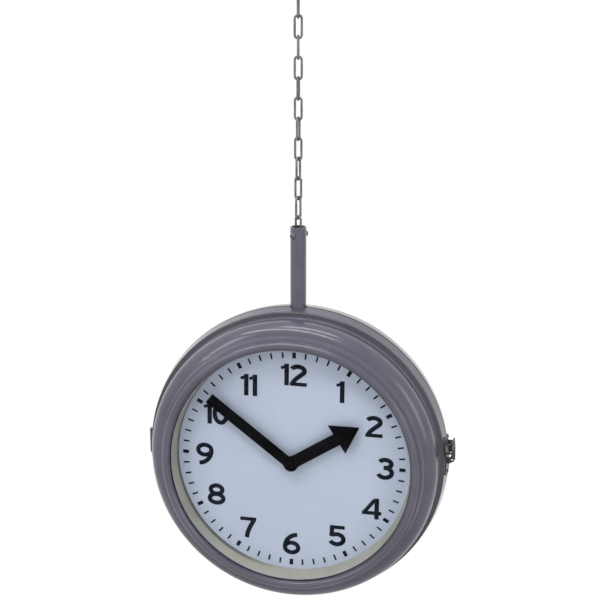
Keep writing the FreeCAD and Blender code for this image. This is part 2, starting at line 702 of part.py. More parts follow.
def movement_case():
    """The movement's moulded box, open behind, with the threaded bush through the dial."""
    back = movement_back_face() + MOVEMENT_WALL
    outer = rounded_box(MOVEMENT_WIDTH, back, DIAL_BACK)
    half = MOVEMENT_WIDTH / 2 - MOVEMENT_WALL
    room = block(V(-half, -(DIAL_BACK - MOVEMENT_WALL), -half), V(half, -back, half))
    bush = along(BUSH_RADIUS, DIAL_BACK - MOVEMENT_WALL, DIAL_FACE + BUSH_HEIGHT)
    box = outer.cut(room).fuse(bush)
    box = box.cut(along(PIPE_RADIUS + RUNNING_GAP, back, DIAL_FACE + BUSH_HEIGHT))
    box = box.cut(along(PIVOT_RADIUS + RUNNING_GAP, back, DIAL_BACK, GEAR_CENTRES))
    contact = CELL_CONTACT_WIDTH / 2
    low, high = cell_depth()
    for side in (-1, 1):
        inner = side * CELL_LENGTH / 2
        outer_x = side * (half + MOVEMENT_WALL / 2)
        spring = block(V(min(inner, outer_x), -high, cell_height() - contact),
                       V(max(inner, outer_x), -low, cell_height() + contact))
        box = box.fuse(spring)
    return one(box)


def cell_depth():
    """How far forward the dry cell's back and front lie."""
    high = DIAL_BACK - MOVEMENT_WALL
    return high - 2 * CELL_RADIUS, high


def cell_height():
    """The cell lies on the floor of the movement's box."""
    return -(MOVEMENT_WIDTH / 2 - MOVEMENT_WALL - CELL_RADIUS)


def battery():
    """One AA cell: its body and the nub of its positive end."""
    low, high = cell_depth()
    centre = V(0, -(low + high) / 2, cell_height())
    half = V(CELL_LENGTH / 2, 0, 0)
    nub = V(CELL_NUB, 0, 0)
    body = cylinder(CELL_RADIUS, centre - half, centre + half - nub)
    return one(body.fuse(cylinder(CELL_NUB_RADIUS, centre + half - nub, centre + half)))


def movement_back():
    """The movement's back plate, with the cell's window and the two pivot holes."""
    back = movement_back_face()
    plate = rounded_box(MOVEMENT_WIDTH, back, back + MOVEMENT_WALL)
    half = CELL_LENGTH / 2 + CELL_WINDOW_GAP
    tall = CELL_RADIUS + CELL_WINDOW_GAP
    window = block(V(-half, -back - MOVEMENT_WALL, cell_height() - CELL_RADIUS),
                   V(half, -back, cell_height() + tall))
    plate = plate.cut(window)
    hole = PIVOT_RADIUS + RUNNING_GAP
    plate = plate.cut(along(hole, back + MOVEMENT_WALL / 2, back + MOVEMENT_WALL))
    return one(plate.cut(along(hole, back, back + MOVEMENT_WALL, GEAR_CENTRES)))


def fixing_nut():
    """The thin hexagonal nut that clamps the movement to the dial."""
    nut = hexagon(BUSH_NUT_WIDTH, BUSH_NUT_HEIGHT, V(0, -DIAL_FACE, 0), V(0, -1, 0))
    return one(nut.cut(along(BUSH_RADIUS, DIAL_FACE, DIAL_FACE + BUSH_NUT_HEIGHT)))


# ================================================================ hinge
def band_strip(near, far, thickness):
    """A strip that lies on the outside of the front half's band, all the way round."""
    return turned([(band_radius(near), near), (band_radius(near) + thickness, near),
                   (band_radius(far) + thickness, far), (band_radius(far), far)])


def rivet_frame(x_sign, forward, height):
    """Point on the band's outside and the outward direction there, on the front half."""
    radius = band_radius(forward)
    x = x_sign * math.sqrt(radius ** 2 - height ** 2)
    outward = V(x, 0, height)
    outward.normalize()
    outward = outward * math.cos(BAND_SLOPE) + V(0, -math.sin(BAND_SLOPE), 0)
    return V(x, -forward, height), outward


def rivet(x_sign, forward, height, plate, behind):
    """A round-headed rivet through a plate, the sheet and what lies behind the sheet."""
    foot, outward = rivet_frame(x_sign, forward, height)
    seat = foot + outward * plate
    dome_radius = (RIVET_HEAD ** 2 + RIVET_HEAD_HEIGHT ** 2) / (2 * RIVET_HEAD_HEIGHT)
    dome = Part.makeSphere(dome_radius, seat + outward * (RIVET_HEAD_HEIGHT - dome_radius))
    head = dome.common(cylinder(RIVET_HEAD, seat, seat + outward * RIVET_HEAD_HEIGHT * 2))
    inside = foot - outward * (SHEET + behind + RIVET_TAIL_HEIGHT)
    tail = cylinder(RIVET_RADIUS, inside, seat)
    return one(head.fuse(tail))


def rivet_hole(x_sign, forward, height):
    foot, outward = rivet_frame(x_sign, forward, height)
    reach = outward * RIVET_HOLE_REACH
    return cylinder(RIVET_RADIUS, foot - reach, foot + reach)


def rivet_places(side):
    """Each rivet's side, distance forward, height, plate and grip behind the sheet."""
    if side == "front":
        places = [place + (HINGE_LEAF, 0) for place in hinge_rivet_places()]
        return places + [place + (LATCH_PLATE, 0) for place in latch_rivet_places()]
    grip = band_radius(HINGE_REACH / 2) - BAND_WALL - hoop_inner_radius()
    places = [(1, forward, height, HINGE_LEAF, grip) for _, forward, height in hinge_rivet_places()]
    return places + [place + (LATCH_PLATE, grip) for place in keeper_rivet_places()]


def rivets(side):
    """One side's rivets; the rear ones hold the hoop too."""
    return Part.makeCompound([rivet(*place) for place in rivet_places(side)])


def hinge_rivet_places():
    height = HINGE_LENGTH / 2 - HINGE_RIVET_INSET
    forward = (HINGE_BARREL + MOVING_GAP + HINGE_REACH) / 2
    return [(-1, forward, height), (-1, forward, 0.0), (-1, forward, -height)]


def knuckle(number):
    """Lower and upper end of one knuckle of the hinge, counted from the bottom."""
    length = HINGE_LENGTH / HINGE_KNUCKLES
    low = -HINGE_LENGTH / 2 + number * length
    return low + HINGE_KNUCKLE_GAP / 2, low + length - HINGE_KNUCKLE_GAP / 2


def hinge_leaf(first, bore):
    """A leaf on the front half's band, with every second knuckle from the first."""
    start = HINGE_BARREL + MOVING_GAP
    half = HINGE_LENGTH / 2
    leaf = band_strip(start, HINGE_REACH, HINGE_LEAF)
    leaf = leaf.common(block(V(-SEAM_RADIUS * 2, -HINGE_REACH, -half), V(0, -start, half)))
    pieces = []
    for number in range(first, HINGE_KNUCKLES, 2):
        low, high = knuckle(number)
        pieces.append(cylinder(HINGE_BARREL, V(HINGE_X, 0, low), V(HINGE_X, 0, high)))
        surface = -band_radius(start) - MOVING_GAP * 2
        pieces.append(block(V(HINGE_X - HINGE_BARREL + HINGE_LEAF, -start - HINGE_LEAF, low),
                            V(surface, -HINGE_PIN, high)))
    leaf = leaf.fuse(pieces)
    leaf = leaf.cut(cylinder(bore, V(HINGE_X, 0, -half), V(HINGE_X, 0, half)))
    for place in hinge_rivet_places():
        leaf = leaf.cut(rivet_hole(*place))
    inside_case = band_strip(HALF_GAP, HINGE_REACH, -BAND_TRIM)
    return one(leaf.cut(inside_case))


def hinge_pin():
    half = HINGE_LENGTH / 2
    pin = cylinder(HINGE_PIN, V(HINGE_X, 0, -half), V(HINGE_X, 0, half))
    heads = []
    for side in (-1, 1):
        start = V(HINGE_X, 0, side * half)
        heads.append(cylinder(HINGE_PIN_HEAD, start, start + V(0, 0, side * HINGE_PIN_HEAD_HEIGHT)))
    return in_case(one(pin.fuse(heads)))


# ================================================================ latch
def latch_point(standoff, setback, height=0.0):
    """A point beside the seam at three o'clock: out from the seam, forward, up."""
    return V(SEAM_RADIUS + standoff, -setback, height)


def rounded_plate(near, far, low, high, thickness):
    """A plate with round corners that lies on the front half's band."""
    corner = (far - near) / 2 - CORNER_FLAT
    slab = block(V(0, -far, low), V(SEAM_RADIUS * 2, -near, high))
    slab = slab.makeFillet(corner, [edge for edge in slab.Edges
                                    if abs(edge.BoundBox.XLength - SEAM_RADIUS * 2) < 1e-6])
    return band_strip(near, far, thickness).common(slab)


def latch_rivet_places():
    forward = (LATCH_NEAR + LATCH_FAR) / 2
    top = LATCH_TOP - LATCH_RIVET_INSET
    return [(1, forward, top), (1, forward, LATCH_BOTTOM + LATCH_RIVET_INSET)]


def keeper_rivet_places():
    forward = KEEPER_BAR_SETBACK + KEEPER_LIP_THICKNESS
    reach = KEEPER_WIDTH / 2 - KEEPER_RIVET_INSET
    return [(-1, forward, LEVER_HEIGHT + reach), (-1, forward, LEVER_HEIGHT - reach)]


def latch_base():
    """The latch's plate, its two ears with their pin, and the padlock eye below."""
    base = rounded_plate(LATCH_NEAR, LATCH_FAR, LATCH_BOTTOM, LATCH_TOP, LATCH_PLATE)
    pivot = latch_point(LEVER_PIVOT_STANDOFF, LEVER_PIVOT_SETBACK)
    cheek = LEVER_WIDTH / 2 - LEVER_SHEET
    ear_outer = cheek - MOVING_GAP
    ear_inner = ear_outer - LEVER_SHEET
    foot = band_radius(LATCH_FAR) - SHEET
    pieces = []
    for side in (-1, 1):
        low = LEVER_HEIGHT + min(side * ear_inner, side * ear_outer)
        high = LEVER_HEIGHT + max(side * ear_inner, side * ear_outer)
        pieces.append(block(V(foot, pivot.y - LEVER_EAR_RADIUS, low),
                            V(pivot.x, pivot.y + LEVER_EAR_RADIUS, high)))
        pieces.append(cylinder(LEVER_EAR_RADIUS, V(pivot.x, pivot.y, low),
                               V(pivot.x, pivot.y, high)))
    axle_half = V(0, 0, LEVER_WIDTH / 2)
    axle_centre = pivot + V(0, 0, LEVER_HEIGHT)
    pieces.append(cylinder(LEVER_PIVOT_RADIUS, axle_centre - axle_half, axle_centre + axle_half))
    pieces.append(padlock_eye(foot))
    base = base.fuse(pieces)
    for place in latch_rivet_places():
        base = base.cut(rivet_hole(*place))
    inside_case = band_strip(HALF_GAP, BAND_FRONT, -BAND_TRIM)
    return one(base.cut(inside_case))


def padlock_eye(foot):
    """A lug that faces forward, with a hole, and a web that slopes down to the plate."""
    setback = LEVER_PIVOT_SETBACK
    centre = latch_point(EYE_STANDOFF, setback - EYE_THICKNESS / 2, EYE_HEIGHT)
    across = V(0, -EYE_THICKNESS, 0)
    ring = cylinder(EYE_RADIUS, centre, centre + across)
    slope_foot = EYE_HEIGHT - EYE_WEB_DROP
    web = prism([V(foot, centre.y, EYE_HEIGHT + EYE_RADIUS),
                 V(centre.x, centre.y, EYE_HEIGHT + EYE_RADIUS),
                 V(centre.x + EYE_BROW_OUT, centre.y, EYE_HEIGHT - EYE_BROW_DROP),
                 V(foot + SHEET, centre.y, slope_foot), V(foot, centre.y, slope_foot)], across)
    hole = cylinder(EYE_HOLE, centre - across, centre + across * 2)
    return ring.fuse(web).cut(hole)


def latch_lever():
    """The thumb lever: a channel over the ears, round at its tail, drawn a little open."""
    pivot = latch_point(LEVER_PIVOT_STANDOFF, LEVER_PIVOT_SETBACK, LEVER_HEIGHT)
    half = V(0, 0, LEVER_WIDTH / 2)
    top = pivot.x + LEVER_EAR_RADIUS + MOVING_GAP + LEVER_SHEET
    bottom = top - LEVER_DEPTH
    nose = pivot.y + LEVER_NOSE
    low = V(bottom, -LEVER_TAIL, LEVER_HEIGHT - half.z)
    outer = block(low, V(top, nose, LEVER_HEIGHT + half.z))
    tail_edges = [edge for edge in outer.Edges if edge.BoundBox.YMax < -LEVER_TAIL + 1e-6
                  and edge.BoundBox.XLength > LEVER_DEPTH / 2]
    outer = outer.makeFillet(LEVER_TAIL_ROUND, tail_edges)
    cheek = LEVER_WIDTH / 2 - LEVER_SHEET
    room = block(V(bottom, -LEVER_TAIL + LEVER_TAIL_ROUND, LEVER_HEIGHT - cheek),
                 V(top - LEVER_SHEET, nose, LEVER_HEIGHT + cheek))
    lever = outer.cut(room)
    hole = LEVER_PIVOT_RADIUS + RUNNING_GAP
    lever = lever.cut(cylinder(hole, pivot - half * 2, pivot + half * 2))
    bail_pivot = latch_point(BAIL_PIVOT_STANDOFF, BAIL_PIVOT_SETBACK, LEVER_HEIGHT)
    hole = BAIL_WIRE + RUNNING_GAP
    lever = lever.cut(cylinder(hole, bail_pivot - half * 2, bail_pivot + half * 2))
    lever.rotate(pivot, V(0, 0, 1), LEVER_AJAR)
    return one(lever)


def bail_arm():
    """Where the bail's side wires lie, above and below the lever's middle."""
    return LEVER_WIDTH / 2 + MOVING_GAP + BAIL_WIRE


def latch_bail():
    """The wire loop that draws the halves together: two feet, two arms and a bar."""
    pivot = latch_point(BAIL_PIVOT_STANDOFF, BAIL_PIVOT_SETBACK, LEVER_HEIGHT)
    bar = latch_point(KEEPER_BAR_STANDOFF, -KEEPER_BAR_SETBACK, LEVER_HEIGHT)
    up = V(0, 0, bail_arm())
    foot = V(0, 0, LEVER_WIDTH / 2 - LEVER_SHEET)
    pieces = []
    for side in (-1, 1):
        pieces.append(cylinder(BAIL_WIRE, pivot + foot * side, pivot + up * side))
        pieces.append(cylinder(BAIL_WIRE, pivot + up * side, bar + up * side))
        pieces.append(Part.makeSphere(BAIL_WIRE, pivot + up * side))
        pieces.append(Part.makeSphere(BAIL_WIRE, bar + up * side))
    bail = cylinder(BAIL_WIRE, bar - up, bar + up).fuse(pieces)
    bail.rotate(pivot, V(0, 0, 1), -LEVER_AJAR * BAIL_RATIO)
    lever_pivot = latch_point(LEVER_PIVOT_STANDOFF, LEVER_PIVOT_SETBACK, LEVER_HEIGHT)
    bail.rotate(lever_pivot, V(0, 0, 1), LEVER_AJAR)
    return one(bail)


def latch_keeper():
    """The rear half's plate with the lip that the bail hooks behind, built at the front."""
    half = KEEPER_WIDTH / 2
    low = -LEVER_HEIGHT - half
    plate = rounded_plate(LATCH_NEAR, LATCH_FAR, low, low + KEEPER_WIDTH, LATCH_PLATE)
    plate.rotate(V(0, 0, 0), V(1, 0, 0), 180)
    face = KEEPER_BAR_SETBACK - BAIL_WIRE - KEEPER_LIP_CLEARANCE
    reach = bail_arm() - BAIL_WIRE - MOVING_GAP
    top = SEAM_RADIUS + KEEPER_LIP_STANDOFF
    lip = block(V(band_radius(BAND_FRONT), face - KEEPER_LIP_THICKNESS, LEVER_HEIGHT - reach),
                V(top, face, LEVER_HEIGHT + reach))
    keeper = plate.fuse(lip)
    inside_case = band_strip(HALF_GAP, BAND_FRONT, -BAND_TRIM)
    inside_case.rotate(V(0, 0, 0), V(1, 0, 0), 180)
    keeper = keeper.cut(inside_case)
    for place in keeper_rivet_places():
        hole = rivet_hole(*place)
        hole.rotate(V(0, 0, 0), V(0, 0, 1), 180)
        keeper = keeper.cut(hole)
    return in_case(one(keeper))


# ================================================================ all the nodes
os.makedirs("parts", exist_ok=True)

save("ceiling_plate", ceiling_plate())
save("ceiling_hook", ceiling_hook())
for link_number in range(1, LINK_COUNT + 1):
    save("chain_link_%02d" % link_number, chain_link(link_number))
save("down_tube", down_tube())
save("hanger_bolt", hanger_bolt())
save("hanger_nut", hanger_nut())
save("tube_nut", tube_nut())
save("centre_hoop", centre_hoop())

for side_name in ("front", "rear"):
    for piece_name, piece in [
            ("shell", shell(side_name)), ("rivets", rivets(side_name)), ("glass", glass()),
            ("glass_ring", glass_ring()), ("surround", surround()), ("dial", dial()),
            ("movement_case", movement_case()), ("movement_back", movement_back()),
            ("fixing_nut", fixing_nut()), ("battery", battery()),
            ("cannon_pinion", cannon_pinion()), ("set_wheel", set_wheel()),
            ("hour_wheel", hour_wheel()), ("hour_hand", hour_hand()),
            ("minute_hand", minute_hand()), ("hand_cap", hand_cap())]:
        save(side_name + "_" + piece_name, to_side(piece, side_name))

save("hinge_front_leaf", in_case(hinge_leaf(1, HINGE_PIN + HINGE_RUNNING_GAP)))
rear_leaf = hinge_leaf(0, HINGE_PIN)
rear_leaf.rotate(V(0, 0, 0), V(1, 0, 0), 180)
save("hinge_rear_leaf", in_case(rear_leaf))
save("hinge_pin", hinge_pin())
save("latch_base", in_case(latch_base()))
save("latch_lever", in_case(latch_lever()))
save("latch_bail", in_case(latch_bail()))
save("latch_keeper", latch_keeper())

print("bolt at z %.2f, case centre at z %.2f" % (BOLT_Z, CASE_Z))
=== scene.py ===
# %% [markdown]
# # A double sided station clock on a chain
# The clock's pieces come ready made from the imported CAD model. This lesson gives them
# their paint, enamel, steel and glass, and prints the dials. The model is loaded once,
# as a fixed frame, and every new piece is then told which moving body it rides on.

# %% Load the frame
import json
import math
import bmesh
import bpy
from mathutils import Matrix, Vector


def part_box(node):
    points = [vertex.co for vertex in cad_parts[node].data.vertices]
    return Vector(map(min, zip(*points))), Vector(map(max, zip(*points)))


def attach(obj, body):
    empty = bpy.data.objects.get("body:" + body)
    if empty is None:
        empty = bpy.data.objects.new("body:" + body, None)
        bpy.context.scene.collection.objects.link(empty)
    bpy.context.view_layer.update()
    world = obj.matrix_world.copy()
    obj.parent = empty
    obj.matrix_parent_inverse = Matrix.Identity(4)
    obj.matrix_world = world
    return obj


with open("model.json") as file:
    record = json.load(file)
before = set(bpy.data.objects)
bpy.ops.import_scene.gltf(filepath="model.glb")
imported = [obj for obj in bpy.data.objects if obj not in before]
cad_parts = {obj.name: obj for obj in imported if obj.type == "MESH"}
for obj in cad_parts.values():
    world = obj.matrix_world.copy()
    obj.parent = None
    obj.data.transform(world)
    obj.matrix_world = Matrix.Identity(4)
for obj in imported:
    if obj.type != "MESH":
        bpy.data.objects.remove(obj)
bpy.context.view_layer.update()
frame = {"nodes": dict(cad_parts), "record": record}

nodes = frame["nodes"]
dial_low, dial_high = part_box("front_dial")
DIAL_FACE = -dial_low.y
CASE_CENTRE = Vector((0, 0, (dial_low.z + dial_high.z) / 2))
print("nodes", len(nodes), "dial face", round(DIAL_FACE, 4), "case centre", tuple(CASE_CENTRE))

# %% [markdown]
# ## Small helpers for shader trees
# A material is a tree of nodes joined by links. Typing every node by hand hides the
# idea behind the finish, so small helpers make a node with its settings, join two
# sockets, and start a group, a material or an object. They hold no look of their own.
# A Mix node has sockets of the same name for numbers and for colours, so its sockets
# are found by their place in the list.


# %% Helpers for nodes and links
def add_node(tree, kind, **settings):
    """A node of one kind; a setting named after a socket fills that socket."""
    node = tree.nodes.new(kind)
    for name, value in settings.items():
        socket = node.inputs.get(name.replace("_", " "))
        if socket is None:
            setattr(node, name, value)
        else:
            socket.default_value = value
    return node


def join(tree, source, target):
    tree.links.new(source, target)


def new_group(name, inputs, outputs):
    """A shader node group with named sockets; returns its tree, input and output nodes."""
    tree = bpy.data.node_groups.new(name, "ShaderNodeTree")
    for socket_name, socket_type, default in inputs:
        socket = tree.interface.new_socket(socket_name, in_out="INPUT", socket_type=socket_type)
        if default is not None:
            socket.default_value = default
    for socket_name, socket_type in outputs:
        tree.interface.new_socket(socket_name, in_out="OUTPUT", socket_type=socket_type)
    return tree, tree.nodes.new("NodeGroupInput"), tree.nodes.new("NodeGroupOutput")


def new_material(name):
    """A material, with its tree and its Principled shader."""
    material = bpy.data.materials.new(name)
    material.use_nodes = True
    return material, material.node_tree, material.node_tree.nodes["Principled BSDF"]


def new_object(name, data):
    """An object in the scene, at the origin."""
    thing = bpy.data.objects.new(name, data)
    bpy.context.scene.collection.objects.link(thing)
    return thing


FLOAT, COLOUR, VECTOR = "NodeSocketFloat", "NodeSocketColor", "NodeSocketVector"
COLOUR_A, COLOUR_B, COLOUR_OUT = 6, 7, 2
NUMBER_A, NUMBER_B, NUMBER_OUT = 2, 3, 0

# %% [markdown]
# ## Mottle: paint is never one flat colour
# Sprayed enamel varies a little in thickness, and dull zinc varies a lot. One group
# serves both: a broad noise and a fine noise are mixed, sharpened, and used to blend
# two colours. The pattern reads Object coordinates, so it stays put when a body moves.


# %% The mottle group
FINER = 7.0            # how many times finer the second noise is
FINE_SHARE = 0.35      # how much of the second noise is added to the first
MOTTLE_MIDDLE = 0.68   # the sum at which the two colours meet


def make_mottle():
    tree, entry, out = new_group(
        "Mottle",
        [("Vector", VECTOR, None), ("First Color", COLOUR, (0.5, 0.5, 0.5, 1)),
         ("Second Color", COLOUR, (0.4, 0.4, 0.4, 1)), ("Scale", FLOAT, 10.0),
         ("Spread", FLOAT, 0.5)],
        [("Color", COLOUR), ("Mask", FLOAT)])
    broad = add_node(tree, "ShaderNodeTexNoise", Detail=4.0, Roughness=0.6)
    fine = add_node(tree, "ShaderNodeTexNoise", Detail=3.0, Roughness=0.7)
    finer_scale = add_node(tree, "ShaderNodeMath", operation="MULTIPLY")
    finer_scale.inputs[1].default_value = FINER
    blend = add_node(tree, "ShaderNodeMath", operation="MULTIPLY_ADD")
    blend.inputs[1].default_value = FINE_SHARE
    low = add_node(tree, "ShaderNodeMath", operation="SUBTRACT")
    low.inputs[0].default_value = MOTTLE_MIDDLE
    high = add_node(tree, "ShaderNodeMath", operation="ADD")
    high.inputs[0].default_value = MOTTLE_MIDDLE
    ramp = add_node(tree, "ShaderNodeMapRange", interpolation_type="SMOOTHSTEP")
    mix = add_node(tree, "ShaderNodeMix", data_type="RGBA")
    for noise in (broad, fine):
        join(tree, entry.outputs["Vector"], noise.inputs["Vector"])
    join(tree, entry.outputs["Scale"], broad.inputs["Scale"])
    join(tree, entry.outputs["Scale"], finer_scale.inputs[0])
    join(tree, finer_scale.outputs[0], fine.inputs["Scale"])
    join(tree, fine.outputs["Fac"], blend.inputs[0])
    join(tree, broad.outputs["Fac"], blend.inputs[2])
    join(tree, entry.outputs["Spread"], low.inputs[1])
    join(tree, entry.outputs["Spread"], high.inputs[1])
    join(tree, blend.outputs[0], ramp.inputs["Value"])
    join(tree, low.outputs[0], ramp.inputs["From Min"])
    join(tree, high.outputs[0], ramp.inputs["From Max"])
    join(tree, ramp.outputs["Result"], mix.inputs["Factor"])
    join(tree, entry.outputs["First Color"], mix.inputs[COLOUR_A])
    join(tree, entry.outputs["Second Color"], mix.inputs[COLOUR_B])
    join(tree, mix.outputs[COLOUR_OUT], out.inputs["Color"])
    join(tree, ramp.outputs["Result"], out.inputs["Mask"])
    return tree


MOTTLE = make_mottle()
print("group", MOTTLE.name, "nodes", len(MOTTLE.nodes))

# %% [markdown]
# ## Dust that settles on what faces up
# Nobody wipes a clock that hangs from a ceiling. The mask is high where the surface
# looks upwards, and a noise breaks it up. The surface's own Normal gives the direction,
# so no paint map is needed and the dust lies the same way in every view.


# %% The dust group
DUST_STARTS, DUST_FULL = 0.35, 1.0   # the upright part of the Normal
SPOTS_START, SPOTS_FULL = 0.3, 0.75  # the noise that breaks the dust up


def make_dust():
    tree, entry, out = new_group(
        "Dust", [("Vector", VECTOR, None), ("Scale", FLOAT, 60.0), ("Amount", FLOAT, 0.3)],
        [("Mask", FLOAT)])
    geometry = tree.nodes.new("ShaderNodeNewGeometry")
    split = tree.nodes.new("ShaderNodeSeparateXYZ")
    upward = add_node(tree, "ShaderNodeMapRange", From_Min=DUST_STARTS, From_Max=DUST_FULL)
    noise = add_node(tree, "ShaderNodeTexNoise", Detail=5.0, Roughness=0.75)
    spots = add_node(tree, "ShaderNodeMapRange", From_Min=SPOTS_START, From_Max=SPOTS_FULL)
    patch = add_node(tree, "ShaderNodeMath", operation="MULTIPLY")
    amount = add_node(tree, "ShaderNodeMath", operation="MULTIPLY")
    join(tree, geometry.outputs["Normal"], split.inputs[0])
    join(tree, split.outputs["Z"], upward.inputs["Value"])
    join(tree, entry.outputs["Vector"], noise.inputs["Vector"])
    join(tree, entry.outputs["Scale"], noise.inputs["Scale"])
    join(tree, noise.outputs["Fac"], spots.inputs["Value"])
    join(tree, upward.outputs["Result"], patch.inputs[0])
    join(tree, spots.outputs["Result"], patch.inputs[1])
    join(tree, patch.outputs[0], amount.inputs[0])
    join(tree, entry.outputs["Amount"], amount.inputs[1])
    join(tree, amount.outputs[0], out.inputs["Mask"])
    return tree


DUST = make_dust()
print("group", DUST.name, "nodes", len(DUST.nodes))

# %% [markdown]
# ## Skin: the fine relief of a finish
# Sprayed paint dries with a soft orange peel, rolled steel keeps fine streaks, and
# moulded plastic has a spark-eroded grain. All three are a noise whose pattern is
# drawn out along one axis by a Stretch vector. The group gives a Height for a Bump node
# and a Mask with more contrast, which the glass uses for its haze.


# %% The skin group
SKIN_LOW, SKIN_HIGH = 0.3, 0.7   # the noise that the Mask spreads over 0 to 1


def make_skin():
    tree, entry, out = new_group(
        "Skin", [("Vector", VECTOR, None), ("Stretch", VECTOR, (1, 1, 1)),
                 ("Scale", FLOAT, 400.0), ("Detail", FLOAT, 2.0)],
        [("Height", FLOAT), ("Mask", FLOAT)])
    drawn = add_node(tree, "ShaderNodeVectorMath", operation="MULTIPLY")
    noise = add_node(tree, "ShaderNodeTexNoise", Roughness=0.55)
    contrast = add_node(tree, "ShaderNodeMapRange", From_Min=SKIN_LOW, From_Max=SKIN_HIGH)
    join(tree, entry.outputs["Vector"], drawn.inputs[0])
    join(tree, entry.outputs["Stretch"], drawn.inputs[1])
    join(tree, drawn.outputs[0], noise.inputs["Vector"])
    join(tree, entry.outputs["Scale"], noise.inputs["Scale"])
    join(tree, entry.outputs["Detail"], noise.inputs["Detail"])
    join(tree, noise.outputs["Fac"], out.inputs["Height"])
    join(tree, noise.outputs["Fac"], contrast.inputs["Value"])
    join(tree, contrast.outputs["Result"], out.inputs["Mask"])
    return tree


SKIN = make_skin()
print("group", SKIN.name, "nodes", len(SKIN.nodes))

# %% [markdown]
# ## Shaded lines: the seam, the step and the foot of the cream wall
# Thin dark lines give the case its drawing: the dark seam where its halves meet, a
# painted shade in the corner of the step, and a painted shade at the foot of the cream
# wall, which lies on the reader's left. All are bands of depth, measured along y from the
# middle of the clock. The group gives a soft mask for such a band, within a given distance
# of the case's axis. It can keep to the faces that point to the reader's left, where the
# painted shade at the wall's foot falls.


# %% The depth line group
LINE_CORE = 0.5   # the share of a line's half width that is fully dark
LEFT_FULL = 0.6   # the leftward part of the Normal at which a one sided line is whole


def make_depth_line():
    tree, entry, out = new_group(
        "Depth line", [("Vector", VECTOR, None), ("Depth", FLOAT, 0.0), ("Width", FLOAT, 0.001),
                       ("Reach", FLOAT, 1.0), ("One Side", FLOAT, 0.0)],
        [("Mask", FLOAT)])

    def number(operation, first, second=None):
        step = add_node(tree, "ShaderNodeMath", operation=operation)
        for socket, value in zip(step.inputs, (first, second)):
            if isinstance(value, (int, float)):
                socket.default_value = value
            elif value is not None:
                join(tree, value, socket)
        return step.outputs[0]

    split = tree.nodes.new("ShaderNodeSeparateXYZ")
    join(tree, entry.outputs["Vector"], split.inputs[0])
    depth = split.outputs["Y"]
    height = number("SUBTRACT", split.outputs["Z"], CASE_CENTRE.z)
    off_axis = number("SQRT", number("ADD", number("POWER", split.outputs["X"], 2),
                                     number("MULTIPLY", height, height)))
    within = number("LESS_THAN", off_axis, entry.outputs["Reach"])
    away = number("ABSOLUTE", number("SUBTRACT", number("ABSOLUTE", depth),
                                     entry.outputs["Depth"]))
    near = number("DIVIDE", away, entry.outputs["Width"])
    soft = add_node(tree, "ShaderNodeMapRange", interpolation_type="SMOOTHSTEP",
                    From_Min=1.0, From_Max=LINE_CORE)
    join(tree, near, soft.inputs["Value"])
    geometry = tree.nodes.new("ShaderNodeNewGeometry")
    facing = tree.nodes.new("ShaderNodeSeparateXYZ")
    join(tree, geometry.outputs["Normal"], facing.inputs[0])
    sign_flipped = number("MULTIPLY", number("SIGN", depth), -1)
    leftness = number("MULTIPLY", facing.outputs["X"], sign_flipped)
    left = add_node(tree, "ShaderNodeMapRange", interpolation_type="SMOOTHSTEP",
                    From_Min=0.0, From_Max=LEFT_FULL)
    join(tree, leftness, left.inputs["Value"])
    side = add_node(tree, "ShaderNodeMix", data_type="FLOAT")
    side.inputs[NUMBER_A].default_value = 1.0
    join(tree, entry.outputs["One Side"], side.inputs["Factor"])
    join(tree, left.outputs["Result"], side.inputs[NUMBER_B])
    band = number("MULTIPLY", soft.outputs["Result"], within)
    mask = number("MULTIPLY", band, side.outputs[NUMBER_OUT])
    join(tree, mask, out.inputs["Mask"])
    return tree


DEPTH_LINE = make_depth_line()
print("group", DEPTH_LINE.name, "nodes", len(DEPTH_LINE.nodes))

# %% [markdown]
# ## One recipe for every opaque finish
# Each finish has two close colours, a gloss that varies between two roughness values,
# a relief, some dust, and any shaded lines that cross it. Colours that vary go through
# the groups, while plain numbers such as metallic or coat are set on the shader itself.

# %% The recipe
DUST_COLOUR = (0.46, 0.44, 0.43)
LINE_COLOUR = (0.012, 0.012, 0.014)
COAT_ROUGHNESS = 0.15
RELIEF_DEPTH = 0.0005


